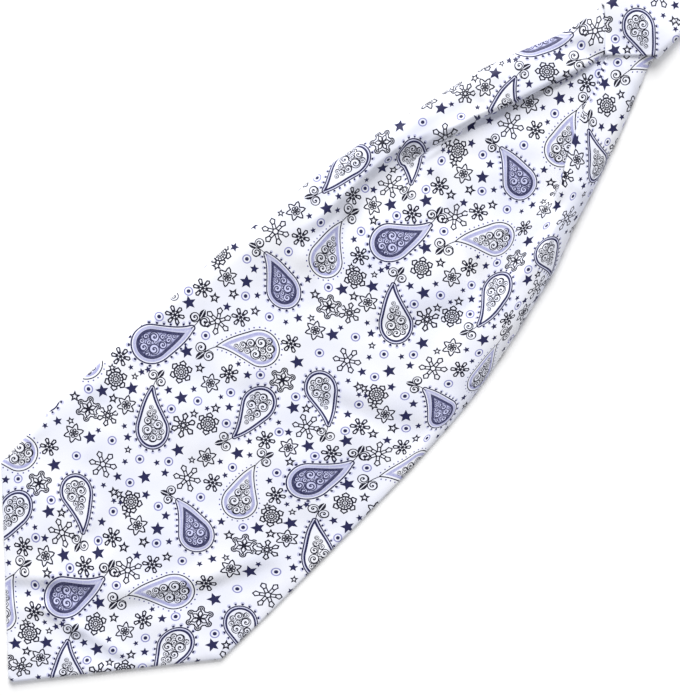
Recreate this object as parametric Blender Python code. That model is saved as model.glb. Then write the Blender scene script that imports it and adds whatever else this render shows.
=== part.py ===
"""Silk cravat laid out flat: two pointed blades, each pleated into an end of a straight neckband.

X runs along the cravat from the tip of blade 1 to the tip of blade 2, Y runs across it and Z is up.
The underside lies on Z = 0. A blade is worked out in sections, each at a distance "along" from its
tip. Every section carries the whole width of the cut cloth: what doesn't show is folded into the two
pleats or rolled under the edges. Each wall is a middle surface that Solidify gives its thickness.
"""

import math
from typing import NamedTuple

import bmesh
import bpy
import numpy as np

MM = 0.001

# The whole cravat.
TOTAL_LENGTH = 1216.0 * MM
WALL = 1.0 * MM
SEAM_GAP = 0.3 * MM

# A blade: how long it is up to the neckband, and half the width that it is cut to.
BLADE_LENGTH = 453.0 * MM
CUT_HALF_WIDTH = 77.5 * MM
CUT_HALF_WIDTH_AT_NECK = 65.0 * MM
CUT_TAPER_START = 300.0 * MM
TIP_TURNING = 3.3 * MM
FIRST_ROW = 3.0 * MM

# Its edges roll under, and a narrow lip runs back below to the seam.
ROLL_LEAST = 0.6 * MM
ROLL_MOST = 4.0 * MM
ROLL_AT_NECK = 2.1 * MM
NECK_START = 400.0 * MM
LIP_LEAST = 0.4 * MM
LIP_SHARE_AT_TIP = 0.3
CLOTH_PER_ROLL_RADIUS = 3.2

# The neckband, whose pointed ends lie on the pleats.
BAND_HALF_WIDTH = 20.0 * MM
BAND_CENTRE = 4.0 * MM
BAND_POINT = 436.0 * MM
BAND_START = BLADE_LENGTH + SEAM_GAP
BAND_HEIGHT = 2.3 * MM
BAND_HEIGHT_ON_PLEATS = 6.6 * MM
BAND_RAMP = 34.0 * MM
BAND_LIP = 0.8 * MM

# Faces of a blade's front, from the seam to the middle, and the steps between its sections.
LIP_FACES = 1
ROLL_FACES = 5
FLAP_FACES = 3
FOLD_FACES = 4
MIDDLE_FACES = 5
TIP_STEP = 13.0 * MM
TIP_GROWTH = 2.0
PLAIN_STEP = 24.0 * MM
PLEAT_STEP = 9.5 * MM
PLEAT_START = 318.0 * MM
LEAST_STEP = 4.0 * MM

BACK_FACES = 6
BACK_FIRST_ROW = 8.0 * MM
BAND_TOP_FACES = 8
BAND_ROLL_FACES = 4
BAND_ROWS = 11
BAND_ROW_CROWDING = 1.7
FOLD_SAMPLES = 161

SILK = (0.90, 0.91, 0.97, 1.0)
SILK_UNDERSIDE = (0.84, 0.85, 0.93, 1.0)
SILK_ROUGHNESS = 0.42


class Row(NamedTuple):
    """One section of a blade, in the table's millimetres or in metres.

    The edges and the folds are places across the blade. A pleat's depth is how far its cloth runs
    back under the flap. Height is the middle of the blade's own, and skew is how far the cloth there
    has shifted sideways.
    """

    along: float
    left_edge: float
    right_edge: float
    left_fold: float
    left_depth: float
    right_fold: float
    right_depth: float
    fold_radius: float
    height: float
    skew: float


class Hollow(NamedTuple):
    """A soft trough along a line over the cloth, in millimetres, or a ridge where its depth is below zero."""

    along_1: float
    across_1: float
    along_2: float
    across_2: float
    width: float
    depth: float


class Blade(NamedTuple):
    """A blade's name, the place of its tip and corners in millimetres, and its tables."""

    name: str
    tip_across: float
    left_corner: float
    right_corner: float
    mirrored: bool
    rows: tuple
    hollows: tuple


BLADE_1 = Blade(
    name="blade_1",
    tip_across=-7.0,
    left_corner=76.0,
    right_corner=84.5,
    mirrored=False,
    rows=(
        Row(0.0, 74.0, -74.5, 36.0, 0.0, -31.0, 0.0, 3.0, 2.4, 0.0),
        Row(80.0, 74.2, -74.5, 36.0, 0.0, -31.0, 0.0, 3.0, 2.6, 0.0),
        Row(120.0, 75.2, -75.2, 36.0, 0.0, -31.0, 0.0, 3.0, 3.0, 0.0),
        Row(160.0, 73.8, -75.0, 36.0, 0.0, -31.0, 0.0, 3.0, 3.2, 0.0),
        Row(200.0, 71.8, -74.7, 36.0, 0.0, -31.0, 0.0, 3.0, 3.6, 0.0),
        Row(230.0, 70.8, -73.7, 37.0, 0.0, -31.0, 0.0, 3.0, 4.0, 0.0),
        Row(260.0, 67.0, -71.7, 37.0, 0.0, -31.0, 0.0, 3.0, 4.4, 0.0),
        Row(300.0, 62.8, -64.8, 37.5, 0.0, -31.0, 0.0, 3.0, 4.6, 0.0),
        Row(325.0, 58.0, -58.8, 37.0, 0.2, -31.0, 0.0, 3.0, 4.2, 0.0),
        Row(340.0, 54.0, -55.4, 33.0, 1.0, -31.0, 0.0, 2.9, 3.8, 0.0),
        Row(364.0, 48.5, -46.4, 27.3, 3.4, -29.5, 1.0, 2.0, 3.0, 0.1),
        Row(386.0, 43.4, -39.4, 19.0, 6.8, -18.6, 8.6, 1.5, 2.3, 0.6),
        Row(408.0, 35.4, -31.6, 12.2, 13.0, -7.8, 14.5, 1.2, 2.0, 1.5),
        Row(424.0, 29.0, -25.4, 6.6, 17.0, -2.4, 16.8, 1.0, 1.9, 2.4),
        Row(436.0, 25.4, -20.4, 4.4, 17.6, 3.0, 17.4, 0.8, 1.9, 3.2),
        Row(453.0, 22.9, -14.9, 4.8, 15.8, 3.4, 15.6, 0.75, 1.9, 4.0),
    ),
    hollows=(
        Hollow(240.0, 40.0, 322.0, 43.0, 9.0, 2.2),
        Hollow(255.0, -47.0, 330.0, -38.0, 12.0, 1.4),
        Hollow(30.0, 38.0, 46.0, -30.0, 8.0, -1.0),
    ),
)

BLADE_2 = Blade(
    name="blade_2",
    tip_across=5.0,
    left_corner=83.0,
    right_corner=78.0,
    mirrored=True,
    rows=(
        Row(0.0, 74.6, -74.2, 31.0, 0.0, -34.0, 0.0, 3.0, 2.4, 0.0),
        Row(80.0, 74.6, -74.2, 31.0, 0.0, -34.0, 0.0, 3.0, 2.6, 0.0),
        Row(120.0, 75.2, -75.2, 31.0, 0.0, -34.0, 0.0, 3.0, 3.0, 0.0),
        Row(160.0, 75.0, -74.4, 31.0, 0.0, -34.0, 0.0, 3.0, 3.4, 0.0),
        Row(200.0, 74.2, -72.6, 31.0, 0.0, -34.0, 0.0, 3.0, 3.8, 0.0),
        Row(230.0, 73.0, -70.6, 31.0, 0.0, -34.5, 0.0, 3.0, 4.0, 0.0),
        Row(260.0, 70.8, -68.0, 31.0, 0.0, -35.0, 0.0, 3.0, 4.3, 0.0),
        Row(300.0, 64.2, -63.4, 31.0, 0.0, -35.0, 0.0, 3.0, 4.5, 0.0),
        Row(325.0, 59.0, -58.2, 31.0, 0.0, -34.0, 0.4, 3.0, 4.2, 0.0),
        Row(340.0, 55.6, -54.4, 31.0, 0.2, -31.0, 1.4, 2.9, 3.8, 0.0),
        Row(364.0, 49.0, -46.4, 28.0, 2.0, -25.0, 4.0, 2.0, 3.0, 0.1),
        Row(386.0, 42.6, -39.0, 20.6, 7.6, -16.6, 8.2, 1.5, 2.3, 0.6),
        Row(408.0, 35.8, -31.4, 13.0, 13.2, -8.4, 14.2, 1.2, 2.0, 1.5),
        Row(424.0, 30.0, -24.8, 7.4, 16.8, -2.6, 16.8, 1.0, 1.9, 2.4),
        Row(436.0, 25.6, -20.2, 4.6, 17.6, 3.2, 17.2, 0.8, 1.9, 3.2),
        Row(453.0, 22.9, -14.9, 4.8, 15.8, 3.4, 15.6, 0.75, 1.9, 4.0),
    ),
    hollows=(
        Hollow(250.0, -41.0, 330.0, -42.0, 9.0, 2.0),
        Hollow(262.0, 46.0, 338.0, 39.0, 11.0, 1.5),
        Hollow(36.0, -34.0, 50.0, 26.0, 9.0, -1.0),
    ),
)


def clear_scene():
    """Removes the objects that a new scene starts with."""
    for obj in list(bpy.data.objects):
        bpy.data.objects.remove(obj)


def silk(name, colour):
    """Returns a plain silk material."""
    material = bpy.data.materials.new(name)
    material.use_nodes = True
    shader = material.node_tree.nodes["Principled BSDF"]
    shader.inputs["Base Color"].default_value = colour
    shader.inputs["Roughness"].default_value = SILK_ROUGHNESS
    shader.inputs["Metallic"].default_value = 0.0
    return material


def wall(name, rows, material):
    """Makes a wall of cloth from rows of points on its middle surface, all of one length."""
    faces_across = len(rows[0]) - 1
    faces_along = len(rows) - 1
    grid = bmesh.new()
    bmesh.ops.create_grid(grid, x_segments=faces_along, y_segments=faces_across, size=0.5)
    for vertex in grid.verts:
        row = round((vertex.co.x + 0.5) * faces_along)
        column = round((vertex.co.y + 0.5) * faces_across)
        vertex.co = rows[row][column]
    for face in grid.faces:
        face.smooth = True
    mesh = bpy.data.meshes.new(name)
    grid.to_mesh(mesh)
    grid.free()
    mesh.materials.append(material)
    obj = bpy.data.objects.new(name, mesh)
    bpy.context.collection.objects.link(obj)
    thicken = obj.modifiers.new("cloth", "SOLIDIFY")
    thicken.thickness = WALL
    thicken.offset = 0.0
    thicken.use_even_offset = True
    return obj


def smooth_step(share):
    """Rises from 0 to 1 with level ends."""
    share = min(max(share, 0.0), 1.0)
    return share * share * (3.0 - 2.0 * share)


def spread(start, end, faces):
    """Returns the even steps from start to end, without the start itself."""
    return [start + (end - start) * (i + 1) / faces for i in range(faces)]


def smooth_curve(x, xs, ys):
    """Returns the height at x of a smooth curve through the points, with no overshoot between them."""
    steps = np.diff(xs)
    slopes = np.diff(ys) / steps
    before, after = slopes[:-1], slopes[1:]
    one_way = before * after > 0.0
    tangents = np.zeros(len(xs))
    tangents[1:-1] = np.where(one_way, 2.0 * before * after / np.where(one_way, before + after, 1.0), 0.0)
    i = int(np.clip(np.searchsorted(xs, x) - 1, 0, len(steps) - 1))
    t = min(max((x - xs[i]) / steps[i], 0.0), 1.0)
    value = ys[i] + (ys[i + 1] - ys[i]) * t * t * (3.0 - 2.0 * t)
    value += steps[i] * t * (1.0 - t) * ((1.0 - t) * tangents[i] - t * tangents[i + 1])
    return float(value)


class Side(NamedTuple):
    """One side of a blade's section. All places are measured outwards from the blade's core line."""

    edge: float
    fold: float
    depth: float
    fold_radius: float
    skew: float
    cut: float
    roll_most: float


class Section:
    """A blade's section at one distance from its tip."""

    def __init__(self, blade, along):
        table = np.array(blade.rows) * MM
        self.row = Row(*(smooth_curve(along, table[:, 0], table[:, i]) for i in range(table.shape[1])))
        self.along = along
        self.blade = blade
        left_corner, right_corner = blade.left_corner * MM, blade.right_corner * MM
        self.tip_share = min(along / min(left_corner, right_corner), 1.0)
        self.core = blade.tip_across * MM * (1.0 - self.tip_share)
        self.left = self.side(1.0, left_corner, self.row.left_edge, self.row.left_fold, self.row.left_depth)
        self.right = self.side(-1.0, right_corner, self.row.right_edge, self.row.right_fold, self.row.right_depth)

    def side(self, sign, corner, edge, fold, depth):
        """Returns one side's values, with the edge on the tip's slant where that lies further in."""
        tip = self.blade.tip_across * MM
        if self.along < corner:
            edge = tip + (edge - tip) * self.along / corner
        edge = (edge - self.core) * sign
        taper = max(self.along - CUT_TAPER_START, 0.0) / (BLADE_LENGTH - CUT_TAPER_START)
        cut = CUT_HALF_WIDTH + (CUT_HALF_WIDTH_AT_NECK - CUT_HALF_WIDTH) * taper
        if self.along < corner:
            cut = min(cut, edge + TIP_TURNING)
        at_neck = smooth_step((self.along - NECK_START) / (BLADE_LENGTH - NECK_START))
        roll_most = ROLL_MOST + (ROLL_AT_NECK - ROLL_MOST) * at_neck
        return Side(
            edge=edge,
            fold=fold * sign * self.tip_share,
            depth=depth,
            fold_radius=self.row.fold_radius * self.tip_share,
            skew=self.row.skew * sign,
            cut=cut,
            roll_most=roll_most,
        )

    def half(self, side):
        """Returns the points of one side as (outwards, up), from the end of its middle to its seam."""
        radius, depth = side.fold_radius, side.depth
        arc = math.pi * radius
        cloth = np.linspace(0.0, depth + arc, FOLD_SAMPLES)
        turn = (np.clip(cloth, 0.0, arc) - np.clip(cloth - depth, 0.0, arc)) / radius
        halfway = (turn[1:] + turn[:-1]) / 2.0
        step = cloth[1]
        out = np.concatenate(((0.0,), np.cumsum(np.cos(halfway) * step)))
        up = np.concatenate(((0.0,), np.cumsum(np.sin(halfway) * step)))
        folded = min(depth / arc, 1.0)
        start = side.fold + WALL / 2.0 * folded - float(np.interp(depth + arc / 2.0, cloth, out))

        first_bend = arc * (0.45 + 0.5 * folded)
        second_bend = depth + arc - first_bend
        places = [0.0] + spread(0.0, first_bend, FOLD_FACES) + [second_bend]
        places += spread(second_bend, depth + arc, FOLD_FACES)
        points = [(start + np.interp(u, cloth, out), self.row.height + np.interp(u, cloth, up)) for u in places]

        flap_start, flap_height = points[-1]
        shown = start - side.skew + depth + arc + side.edge - flap_start
        hidden = side.cut - shown
        radius = (hidden - LIP_LEAST) / CLOTH_PER_ROLL_RADIUS
        radius = max(min(max(radius, ROLL_LEAST), side.roll_most), folded * (flap_height - WALL / 2.0) / 2.0)
        roll_start = side.edge - WALL / 2.0 - radius
        lip = max(hidden - (math.pi - 1.0) * radius, LIP_LEAST)
        lip = min(lip, roll_start * (1.0 if self.tip_share == 1.0 else LIP_SHARE_AT_TIP))
        roll_height = WALL / 2.0 + 2.0 * radius
        for share in spread(0.0, 1.0, FLAP_FACES):
            rise = (roll_height - flap_height) * smooth_step(share)
            points.append((flap_start + (roll_start - flap_start) * share, flap_height + rise))
        for angle in spread(0.0, math.pi, ROLL_FACES):
            points.append(
                (roll_start + radius * math.sin(angle), WALL / 2.0 + radius * (1.0 + math.cos(angle)))
            )
        for place in spread(roll_start, roll_start - lip, LIP_FACES):
            points.append((place, WALL / 2.0))
        return points

    def hollow(self, across):
        """Returns how far the soft hollows lower the cloth at a place across."""
        total = 0.0
        for hollow in self.blade.hollows:
            start = np.array((hollow.along_1, hollow.across_1)) * MM
            run = np.array((hollow.along_2, hollow.across_2)) * MM - start
            place = np.array((self.along, across)) - start
            share = min(max(place @ run / (run @ run), 0.0), 1.0)
            away = np.linalg.norm(place - share * run) / (hollow.width * MM)
            total += hollow.depth * MM * math.exp(-away * away)
        return total

    def front(self):
        """Returns the front's points as (across, up), from the left seam to the right one.

        Towards the tip, where nothing is folded, the points on top grow evenly spaced.
        """
        left = self.half(self.left)
        right = self.half(self.right)
        points = [(self.core + out, up) for out, up in reversed(left)]
        first, last = points[-1][0], self.core - right[0][0]
        points += [(across, self.row.height) for across in spread(first, last, MIDDLE_FACES)][:-1]
        points += [(self.core - out, up) for out, up in right]
        under = ROLL_FACES + LIP_FACES
        top = range(under + 1, len(points) - 1 - under)
        across_left, across_right = points[under][0], points[-1 - under][0]
        laid = smooth_step(self.tip_share)
        for i in top:
            across, up = points[i]
            even = across_left + (across_right - across_left) * (i - under) / (len(top) + 1)
            across = even + (across - even) * laid
            points[i] = (across, up - self.hollow(across))
        return points

    def back(self):
        """Returns the back's points, level between the front's two lips."""
        left = self.core + self.half(self.left)[-1][0] - SEAM_GAP
        right = self.core - self.half(self.right)[-1][0] + SEAM_GAP
        return [(across, WALL / 2.0) for across in [left] + spread(left, right, BACK_FACES)]

    def place(self, points):
        """Returns the section's points in the cravat's own frame."""
        if self.blade.mirrored:
            return [(TOTAL_LENGTH / 2.0 - self.along, across, up) for across, up in points]
        return [(self.along - TOTAL_LENGTH / 2.0, across, up) for across, up in points]


def stations(blade):
    """Returns the distances of a blade's sections: closer at the tip and in the pleats, one at each corner."""
    corners = [blade.left_corner * MM, blade.right_corner * MM]
    found = list(corners)
    along = FIRST_ROW
    while along < BLADE_LENGTH - LEAST_STEP:
        if min(abs(along - place) for place in found) >= LEAST_STEP:
            found.append(along)
        if along < max(corners):
            along += min(TIP_STEP, TIP_GROWTH * along)
        else:
            along += PLEAT_STEP if along > PLEAT_START else PLAIN_STEP
    return sorted(found + [BLADE_LENGTH])


def build_blade(blade, top, underside):
    """Makes a blade's front and back."""
    sections = [Section(blade, along) for along in stations(blade)]
    fronts = [section.place(section.front()) for section in sections]
    backs = [section.place(section.back()) for section in sections if section.along > BACK_FIRST_ROW]
    if blade.mirrored:
        fronts.reverse()
        backs.reverse()
    wall(blade.name + "_front", fronts, top)
    wall(blade.name + "_back", backs, underside)


def band_level(distance):
    """Returns the height of the neckband's top layer at a distance from the nearer tip."""
    fall = smooth_step((distance - BAND_START) / BAND_RAMP)
    return BAND_HEIGHT_ON_PLEATS + (BAND_HEIGHT - BAND_HEIGHT_ON_PLEATS) * fall


def band_section(distance):
    """Returns half of the band's top layer as (out, up), from its middle to the end of its lip."""
    level = band_level(distance)
    radius = (level - WALL / 2.0) / 2.0
    roll_start = BAND_HALF_WIDTH - WALL / 2.0 - radius
    half_faces = BAND_TOP_FACES // 2
    points = [(0.0, level)] + [(out, level) for out in spread(0.0, roll_start, half_faces)]
    for angle in spread(0.0, math.pi, BAND_ROLL_FACES):
        points.append((roll_start + radius * math.sin(angle), level - radius * (1.0 - math.cos(angle))))
    points.append((roll_start - BAND_LIP, WALL / 2.0))
    return points


def band_rows(columns_out, shape):
    """Returns rows of points from one end of the band to the other, mirrored about its middle.

    Each column starts at its own distance from the tip, and the rows even out towards the middle.
    """
    middle = TOTAL_LENGTH / 2.0
    halves = []
    for i in range(BAND_ROWS):
        share = (i / BAND_ROWS) ** BAND_ROW_CROWDING
        row = []
        for column, start in columns_out:
            distance = start + (middle - start) * share
            out, up = shape(distance)[abs(column)]
            row.append((distance - middle, BAND_CENTRE - math.copysign(out, column), up))
        halves.append(row)
    centre = [(0.0, across, up) for _, across, up in halves[-1]]
    return halves + [centre] + [[(-x, across, up) for x, across, up in row] for row in reversed(halves)]


def build_band(top, underside):
    """Makes the neckband's top layer, with a point at each end, and its level under layer.

    The point's slanted sides run down on to the rolled edges, to the first row of faces there.
    """
    section = band_section(BAND_START)
    roll_column = BAND_TOP_FACES // 2
    roll_start, level = section[roll_column]
    slant = roll_start + (level - WALL / 2.0) / 2.0 * math.pi / BAND_ROLL_FACES
    columns = []
    for column in range(1 - len(section), len(section)):
        reach = section[abs(column)][0] / slant if abs(column) <= roll_column else 1.0
        columns.append((column, BAND_POINT + (BAND_START - BAND_POINT) * reach))
    wall("neckband_front", band_rows(columns, band_section), top)

    def under(distance):
        edge = band_section(distance)[-1][0] - SEAM_GAP
        return [(0.0, WALL / 2.0), (edge / 2.0, WALL / 2.0), (edge, WALL / 2.0)]

    wall("neckband_back", band_rows([(column, BAND_START) for column in range(-2, 3)], under), underside)


clear_scene()
silk_top = silk("silk", SILK)
silk_under = silk("silk_underside", SILK_UNDERSIDE)
build_blade(BLADE_1, silk_top, silk_under)
build_blade(BLADE_2, silk_top, silk_under)
build_band(silk_top, silk_under)
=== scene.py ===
"""Silk cravat laid out flat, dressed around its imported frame.

X runs along the cravat from the tip of blade 1 to the tip of blade 2, Y runs across it and Z is up. The
underside lies on Z = 0. Each piece is a thin shell on the middle of its solid's wall. Every point of a shell
knows its place in the flat cut cloth, so that the print runs on through the pleats and round the edges.
"""

import logging
import math
from collections.abc import Sequence
from dataclasses import dataclass
from enum import Enum
from typing import NamedTuple

import bmesh
import bpy
import numpy as np
from mathutils import Matrix, Vector, noise


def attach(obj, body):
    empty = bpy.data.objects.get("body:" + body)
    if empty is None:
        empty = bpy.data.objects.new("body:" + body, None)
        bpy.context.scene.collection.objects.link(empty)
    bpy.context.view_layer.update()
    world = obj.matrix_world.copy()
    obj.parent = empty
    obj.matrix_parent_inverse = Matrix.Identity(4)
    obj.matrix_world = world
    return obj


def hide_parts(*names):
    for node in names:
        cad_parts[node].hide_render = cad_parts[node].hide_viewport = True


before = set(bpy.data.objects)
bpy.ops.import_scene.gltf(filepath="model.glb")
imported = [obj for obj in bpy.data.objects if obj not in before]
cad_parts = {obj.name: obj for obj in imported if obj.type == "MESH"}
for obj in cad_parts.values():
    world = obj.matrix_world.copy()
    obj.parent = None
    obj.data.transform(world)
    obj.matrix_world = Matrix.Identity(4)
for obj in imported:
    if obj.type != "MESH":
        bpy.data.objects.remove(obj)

log = logging.getLogger("cravat")

MM = 0.001

# The whole cravat, as in the frame's solids.
TOTAL_LENGTH = 1216.0 * MM
WALL = 1.0 * MM
SHELL = 0.6 * MM
SEAM_GAP = 0.3 * MM
BLADE_LENGTH = 453.0 * MM
BAND_START = BLADE_LENGTH + SEAM_GAP

Colour = tuple[float, float, float]
Term = "Field | float"


class Motif(Enum):
    """The kinds of motif in the print. A kind's value is the code that its faces carry."""

    PAISLEY_LINED = 1.0
    PAISLEY_FILLED = 2.0
    PAISLEY_PALE = 3.0
    SNOWFLAKE = 4.0
    ROSETTE = 5.0
    STAR_FLOWER = 6.0
    PETAL_FLOWER = 7.0
    WHEEL_FLOWER = 8.0
    FROST_FLOWER = 9.0
    STAR_FILLED = 10.0
    STAR_LINED = 11.0
    RINGED_DOT = 12.0


class Spot(NamedTuple):
    """A round motif: its place in the repeat and its radius, in millimetres, and its turn in degrees."""

    along: float
    across: float
    radius: float
    turn: float


class Drop(NamedTuple):
    """A paisley: the centre of its round end, its tip, and the side that the tip leans to."""

    kind: Motif
    along: float
    across: float
    tip_along: float
    tip_across: float
    lean: float


# The repeat of the print, in millimetres. Each next strip lies a step further along and drops by half.
STRIP_STEP = 122.0
STRIP_DROP = 52.0
REPEAT_ACROSS = 104.0
PAISLEY_RADIUS = 8.6
PAISLEY_TIP = 20.5
PAISLEY_FRINGE = 4.1

PAISLEYS = (
    Drop(Motif.PAISLEY_FILLED, 174.5, -49.0, 194.0, -58.0, -1.0),
    Drop(Motif.PAISLEY_FILLED, 118.5, -26.0, 125.0, -8.0, -1.0),
    Drop(Motif.PAISLEY_PALE, 145.0, -31.0, 164.5, -24.0, 1.0),
    Drop(Motif.PAISLEY_PALE, 210.5, 14.5, 195.5, 31.0, -1.0),
    Drop(Motif.PAISLEY_LINED, 143.0, 26.0, 158.0, 40.0, 1.0),
    Drop(Motif.PAISLEY_LINED, 188.5, -4.0, 168.5, -6.5, 1.0),
    Drop(Motif.PAISLEY_LINED, 215.5, -20.5, 204.0, -36.0, 1.0),
)

FLOWERS = {
    Motif.SNOWFLAKE: (
        Spot(113.0, 32.0, 7.0, 61.0),
        Spot(136.5, -3.5, 7.0, 0.0),
        Spot(205.5, 39.0, 7.0, 31.0),
        Spot(196.0, -29.0, 7.0, 0.0),
    ),
    Motif.ROSETTE: (
        Spot(109.0, 9.0, 5.7, 0.0),
        Spot(149.0, 56.5, 5.7, 30.0),
        Spot(164.0, 7.5, 5.7, 30.0),
        Spot(174.0, 35.0, 5.7, 30.0),
    ),
    Motif.STAR_FLOWER: (
        Spot(114.5, 53.5, 5.1, 27.0),
        Spot(143.0, 44.0, 5.0, 29.0),
        Spot(151.0, -3.5, 5.0, 30.0),
        Spot(180.0, 20.5, 5.0, 30.0),
        Spot(182.0, -30.0, 5.0, 30.0),
        Spot(225.0, 50.5, 5.0, 30.0),
    ),
    Motif.PETAL_FLOWER: (
        Spot(143.5, -14.5, 4.7, 0.0),
        Spot(159.0, -42.0, 4.7, 0.0),
        Spot(177.5, -19.0, 4.7, 1.0),
        Spot(190.0, 17.0, 4.8, 30.0),
        Spot(215.0, 32.0, 4.7, 0.0),
        Spot(223.0, 5.5, 4.7, 1.0),
        Spot(193.0, -47.5, 4.8, 0.0),
        Spot(212.5, -48.5, 4.8, 0.0),
    ),
    Motif.FROST_FLOWER: (
        Spot(132.8, 47.2, 5.4, 29.0),
        Spot(155.0, 16.0, 6.2, 30.0),
    ),
    Motif.WHEEL_FLOWER: (
        Spot(128.5, 56.5, 6.4, 30.0),
        Spot(206.0, -4.0, 6.5, 30.0),
    ),
}

STARS = {
    Motif.STAR_FILLED: (
        Spot(140.0, 57.5, 3.1, 52.0),
        Spot(118.5, 46.0, 3.2, 53.0),
        Spot(151.0, 47.5, 3.2, 53.0),
        Spot(122.5, 12.5, 3.2, 56.0),
        Spot(144.0, 9.5, 3.2, 57.0),
        Spot(108.0, -10.0, 3.2, 39.0),
        Spot(163.0, -13.5, 3.2, 58.0),
        Spot(183.5, 40.0, 3.2, 56.0),
        Spot(164.5, 26.0, 3.3, 54.0),
        Spot(202.5, 55.5, 3.2, 54.0),
        Spot(218.0, -3.0, 3.3, 56.0),
        Spot(199.0, -17.5, 3.2, 57.0),
        Spot(189.0, -36.5, 3.2, 59.0),
        Spot(131.5, 32.5, 2.1, 35.0),
        Spot(113.5, 22.5, 2.2, 53.0),
        Spot(116.5, 6.0, 2.2, 21.0),
        Spot(115.5, -8.5, 2.2, 36.0),
        Spot(107.0, -18.5, 1.7, 36.0),
        Spot(131.5, -31.0, 2.0, 37.0),
        Spot(113.5, -40.5, 2.2, 57.0),
        Spot(131.0, 6.5, 2.1, 35.0),
        Spot(163.0, 33.5, 2.1, 56.0),
        Spot(163.0, -34.5, 1.8, 57.0),
        Spot(177.5, 5.5, 2.1, 36.0),
        Spot(196.0, 10.0, 2.1, 36.0),
        Spot(214.0, 40.5, 2.1, 35.0),
        Spot(214.0, -39.5, 2.1, 40.0),
        Spot(188.0, -24.5, 2.0, 36.0),
        Spot(160.5, 49.5, 1.8, 57.0),
        Spot(163.5, -56.0, 1.7, 60.0),
        Spot(124.0, 45.5, 1.5, 1.0),
        Spot(134.5, 37.5, 1.5, 58.0),
        Spot(105.5, 24.5, 1.5, 4.0),
        Spot(121.5, 25.0, 1.6, 5.0),
        Spot(132.0, 13.0, 1.6, 57.0),
        Spot(103.5, 15.5, 1.5, 4.0),
        Spot(172.0, 24.5, 1.7, 54.0),
        Spot(178.5, 12.0, 1.4, 57.0),
        Spot(197.0, 17.0, 1.5, 55.0),
        Spot(169.5, 13.0, 1.4, 18.0),
        Spot(154.0, -10.0, 1.6, 56.0),
        Spot(150.5, -16.5, 1.5, 56.0),
        Spot(171.5, -13.5, 1.7, 54.0),
        Spot(188.5, -17.5, 1.5, 56.0),
        Spot(166.5, -18.5, 1.6, 57.0),
        Spot(107.5, -37.5, 1.5, 4.0),
        Spot(158.5, -49.0, 1.4, 56.0),
        Spot(227.0, -39.5, 1.4, 7.0),
    ),
    Motif.STAR_LINED: (
        Spot(106.5, 18.5, 2.4, 55.0),
        Spot(127.0, 28.0, 1.8, 36.0),
        Spot(141.0, 51.0, 2.3, 33.0),
        Spot(156.5, 50.5, 1.7, 37.0),
        Spot(163.0, 16.0, 2.1, 36.0),
        Spot(172.5, 10.0, 2.3, 38.0),
        Spot(145.0, 1.0, 1.8, 40.0),
        Spot(182.0, 29.5, 2.3, 34.0),
        Spot(213.0, 48.0, 2.4, 36.0),
        Spot(221.0, 42.5, 2.5, 16.0),
        Spot(222.5, 29.0, 2.3, 33.0),
        Spot(128.5, -38.5, 2.4, 39.0),
        Spot(177.0, -35.5, 2.3, 38.0),
        Spot(203.0, -22.5, 2.3, 38.0),
        Spot(118.0, -45.0, 1.8, 59.0),
        Spot(152.0, -42.5, 1.8, 38.0),
        Spot(225.5, -46.0, 2.2, 58.0),
        Spot(229.5, -36.0, 2.2, 59.0),
    ),
}

DOT_RADIUS = 2.3
DOT_PLACES = (
    (107.0, 44.5),
    (125.0, 37.0),
    (127.5, 20.5),
    (115.5, 16.0),
    (136.5, 9.0),
    (116.5, -2.5),
    (102.5, -14.5),
    (103.5, -30.0),
    (134.0, -15.0),
    (156.0, -16.5),
    (157.0, 26.0),
    (169.0, 19.0),
    (183.5, 10.0),
    (196.0, 38.5),
    (170.5, 1.0),
    (200.5, 5.5),
    (185.0, -21.0),
    (168.5, -34.5),
    (187.0, -42.5),
    (136.0, -41.0),
    (204.0, -14.5),
    (221.5, -40.0),
    (206.5, -44.5),
)
RINGED_DOTS = {Motif.RINGED_DOT: tuple(Spot(along, across, DOT_RADIUS, 0.0) for along, across in DOT_PLACES)}


class Curl(NamedTuple):
    """A small spiral of the paisley's filling, in millimetres from the centre of its round end."""

    aside: float
    up: float
    radius: float
    hand: float


CURLS = (
    Curl(-2.7, -0.3, 2.6, 1.0),
    Curl(2.8, 2.2, 2.4, -1.0),
    Curl(0.0, -4.4, 2.2, 1.0),
    Curl(-2.2, 4.4, 2.0, -1.0),
    Curl(4.4, -1.3, 1.5, 1.0),
    Curl(3.3, -4.0, 1.5, -1.0),
    Curl(1.1, -1.2, 1.4, 1.0),
    Curl(-3.6, -4.1, 1.5, -1.0),
    Curl(0.1, 1.9, 1.2, 1.0),
    Curl(1.2, 5.9, 1.5, 1.0),
    Curl(-1.3, 7.9, 1.6, 1.0),
    Curl(0.9, 8.9, 1.2, -1.0),
    Curl(-0.6, 11.1, 1.1, 1.0),
    Curl(0.6, PAISLEY_TIP + 6.9, 2.5, -1.0),
    Curl(4.3, PAISLEY_TIP + 3.3, 2.4, 1.0),
)
STEM_END = (2.7, PAISLEY_TIP + 5.4)
LEAF_CENTRE = (4.4, PAISLEY_TIP + 7.4)
LEAF_TURN = 40.0
SPRIG_CENTRE = (3.0, PAISLEY_TIP + 6.0)
SPRIG_RADIUS = 6.2


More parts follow.
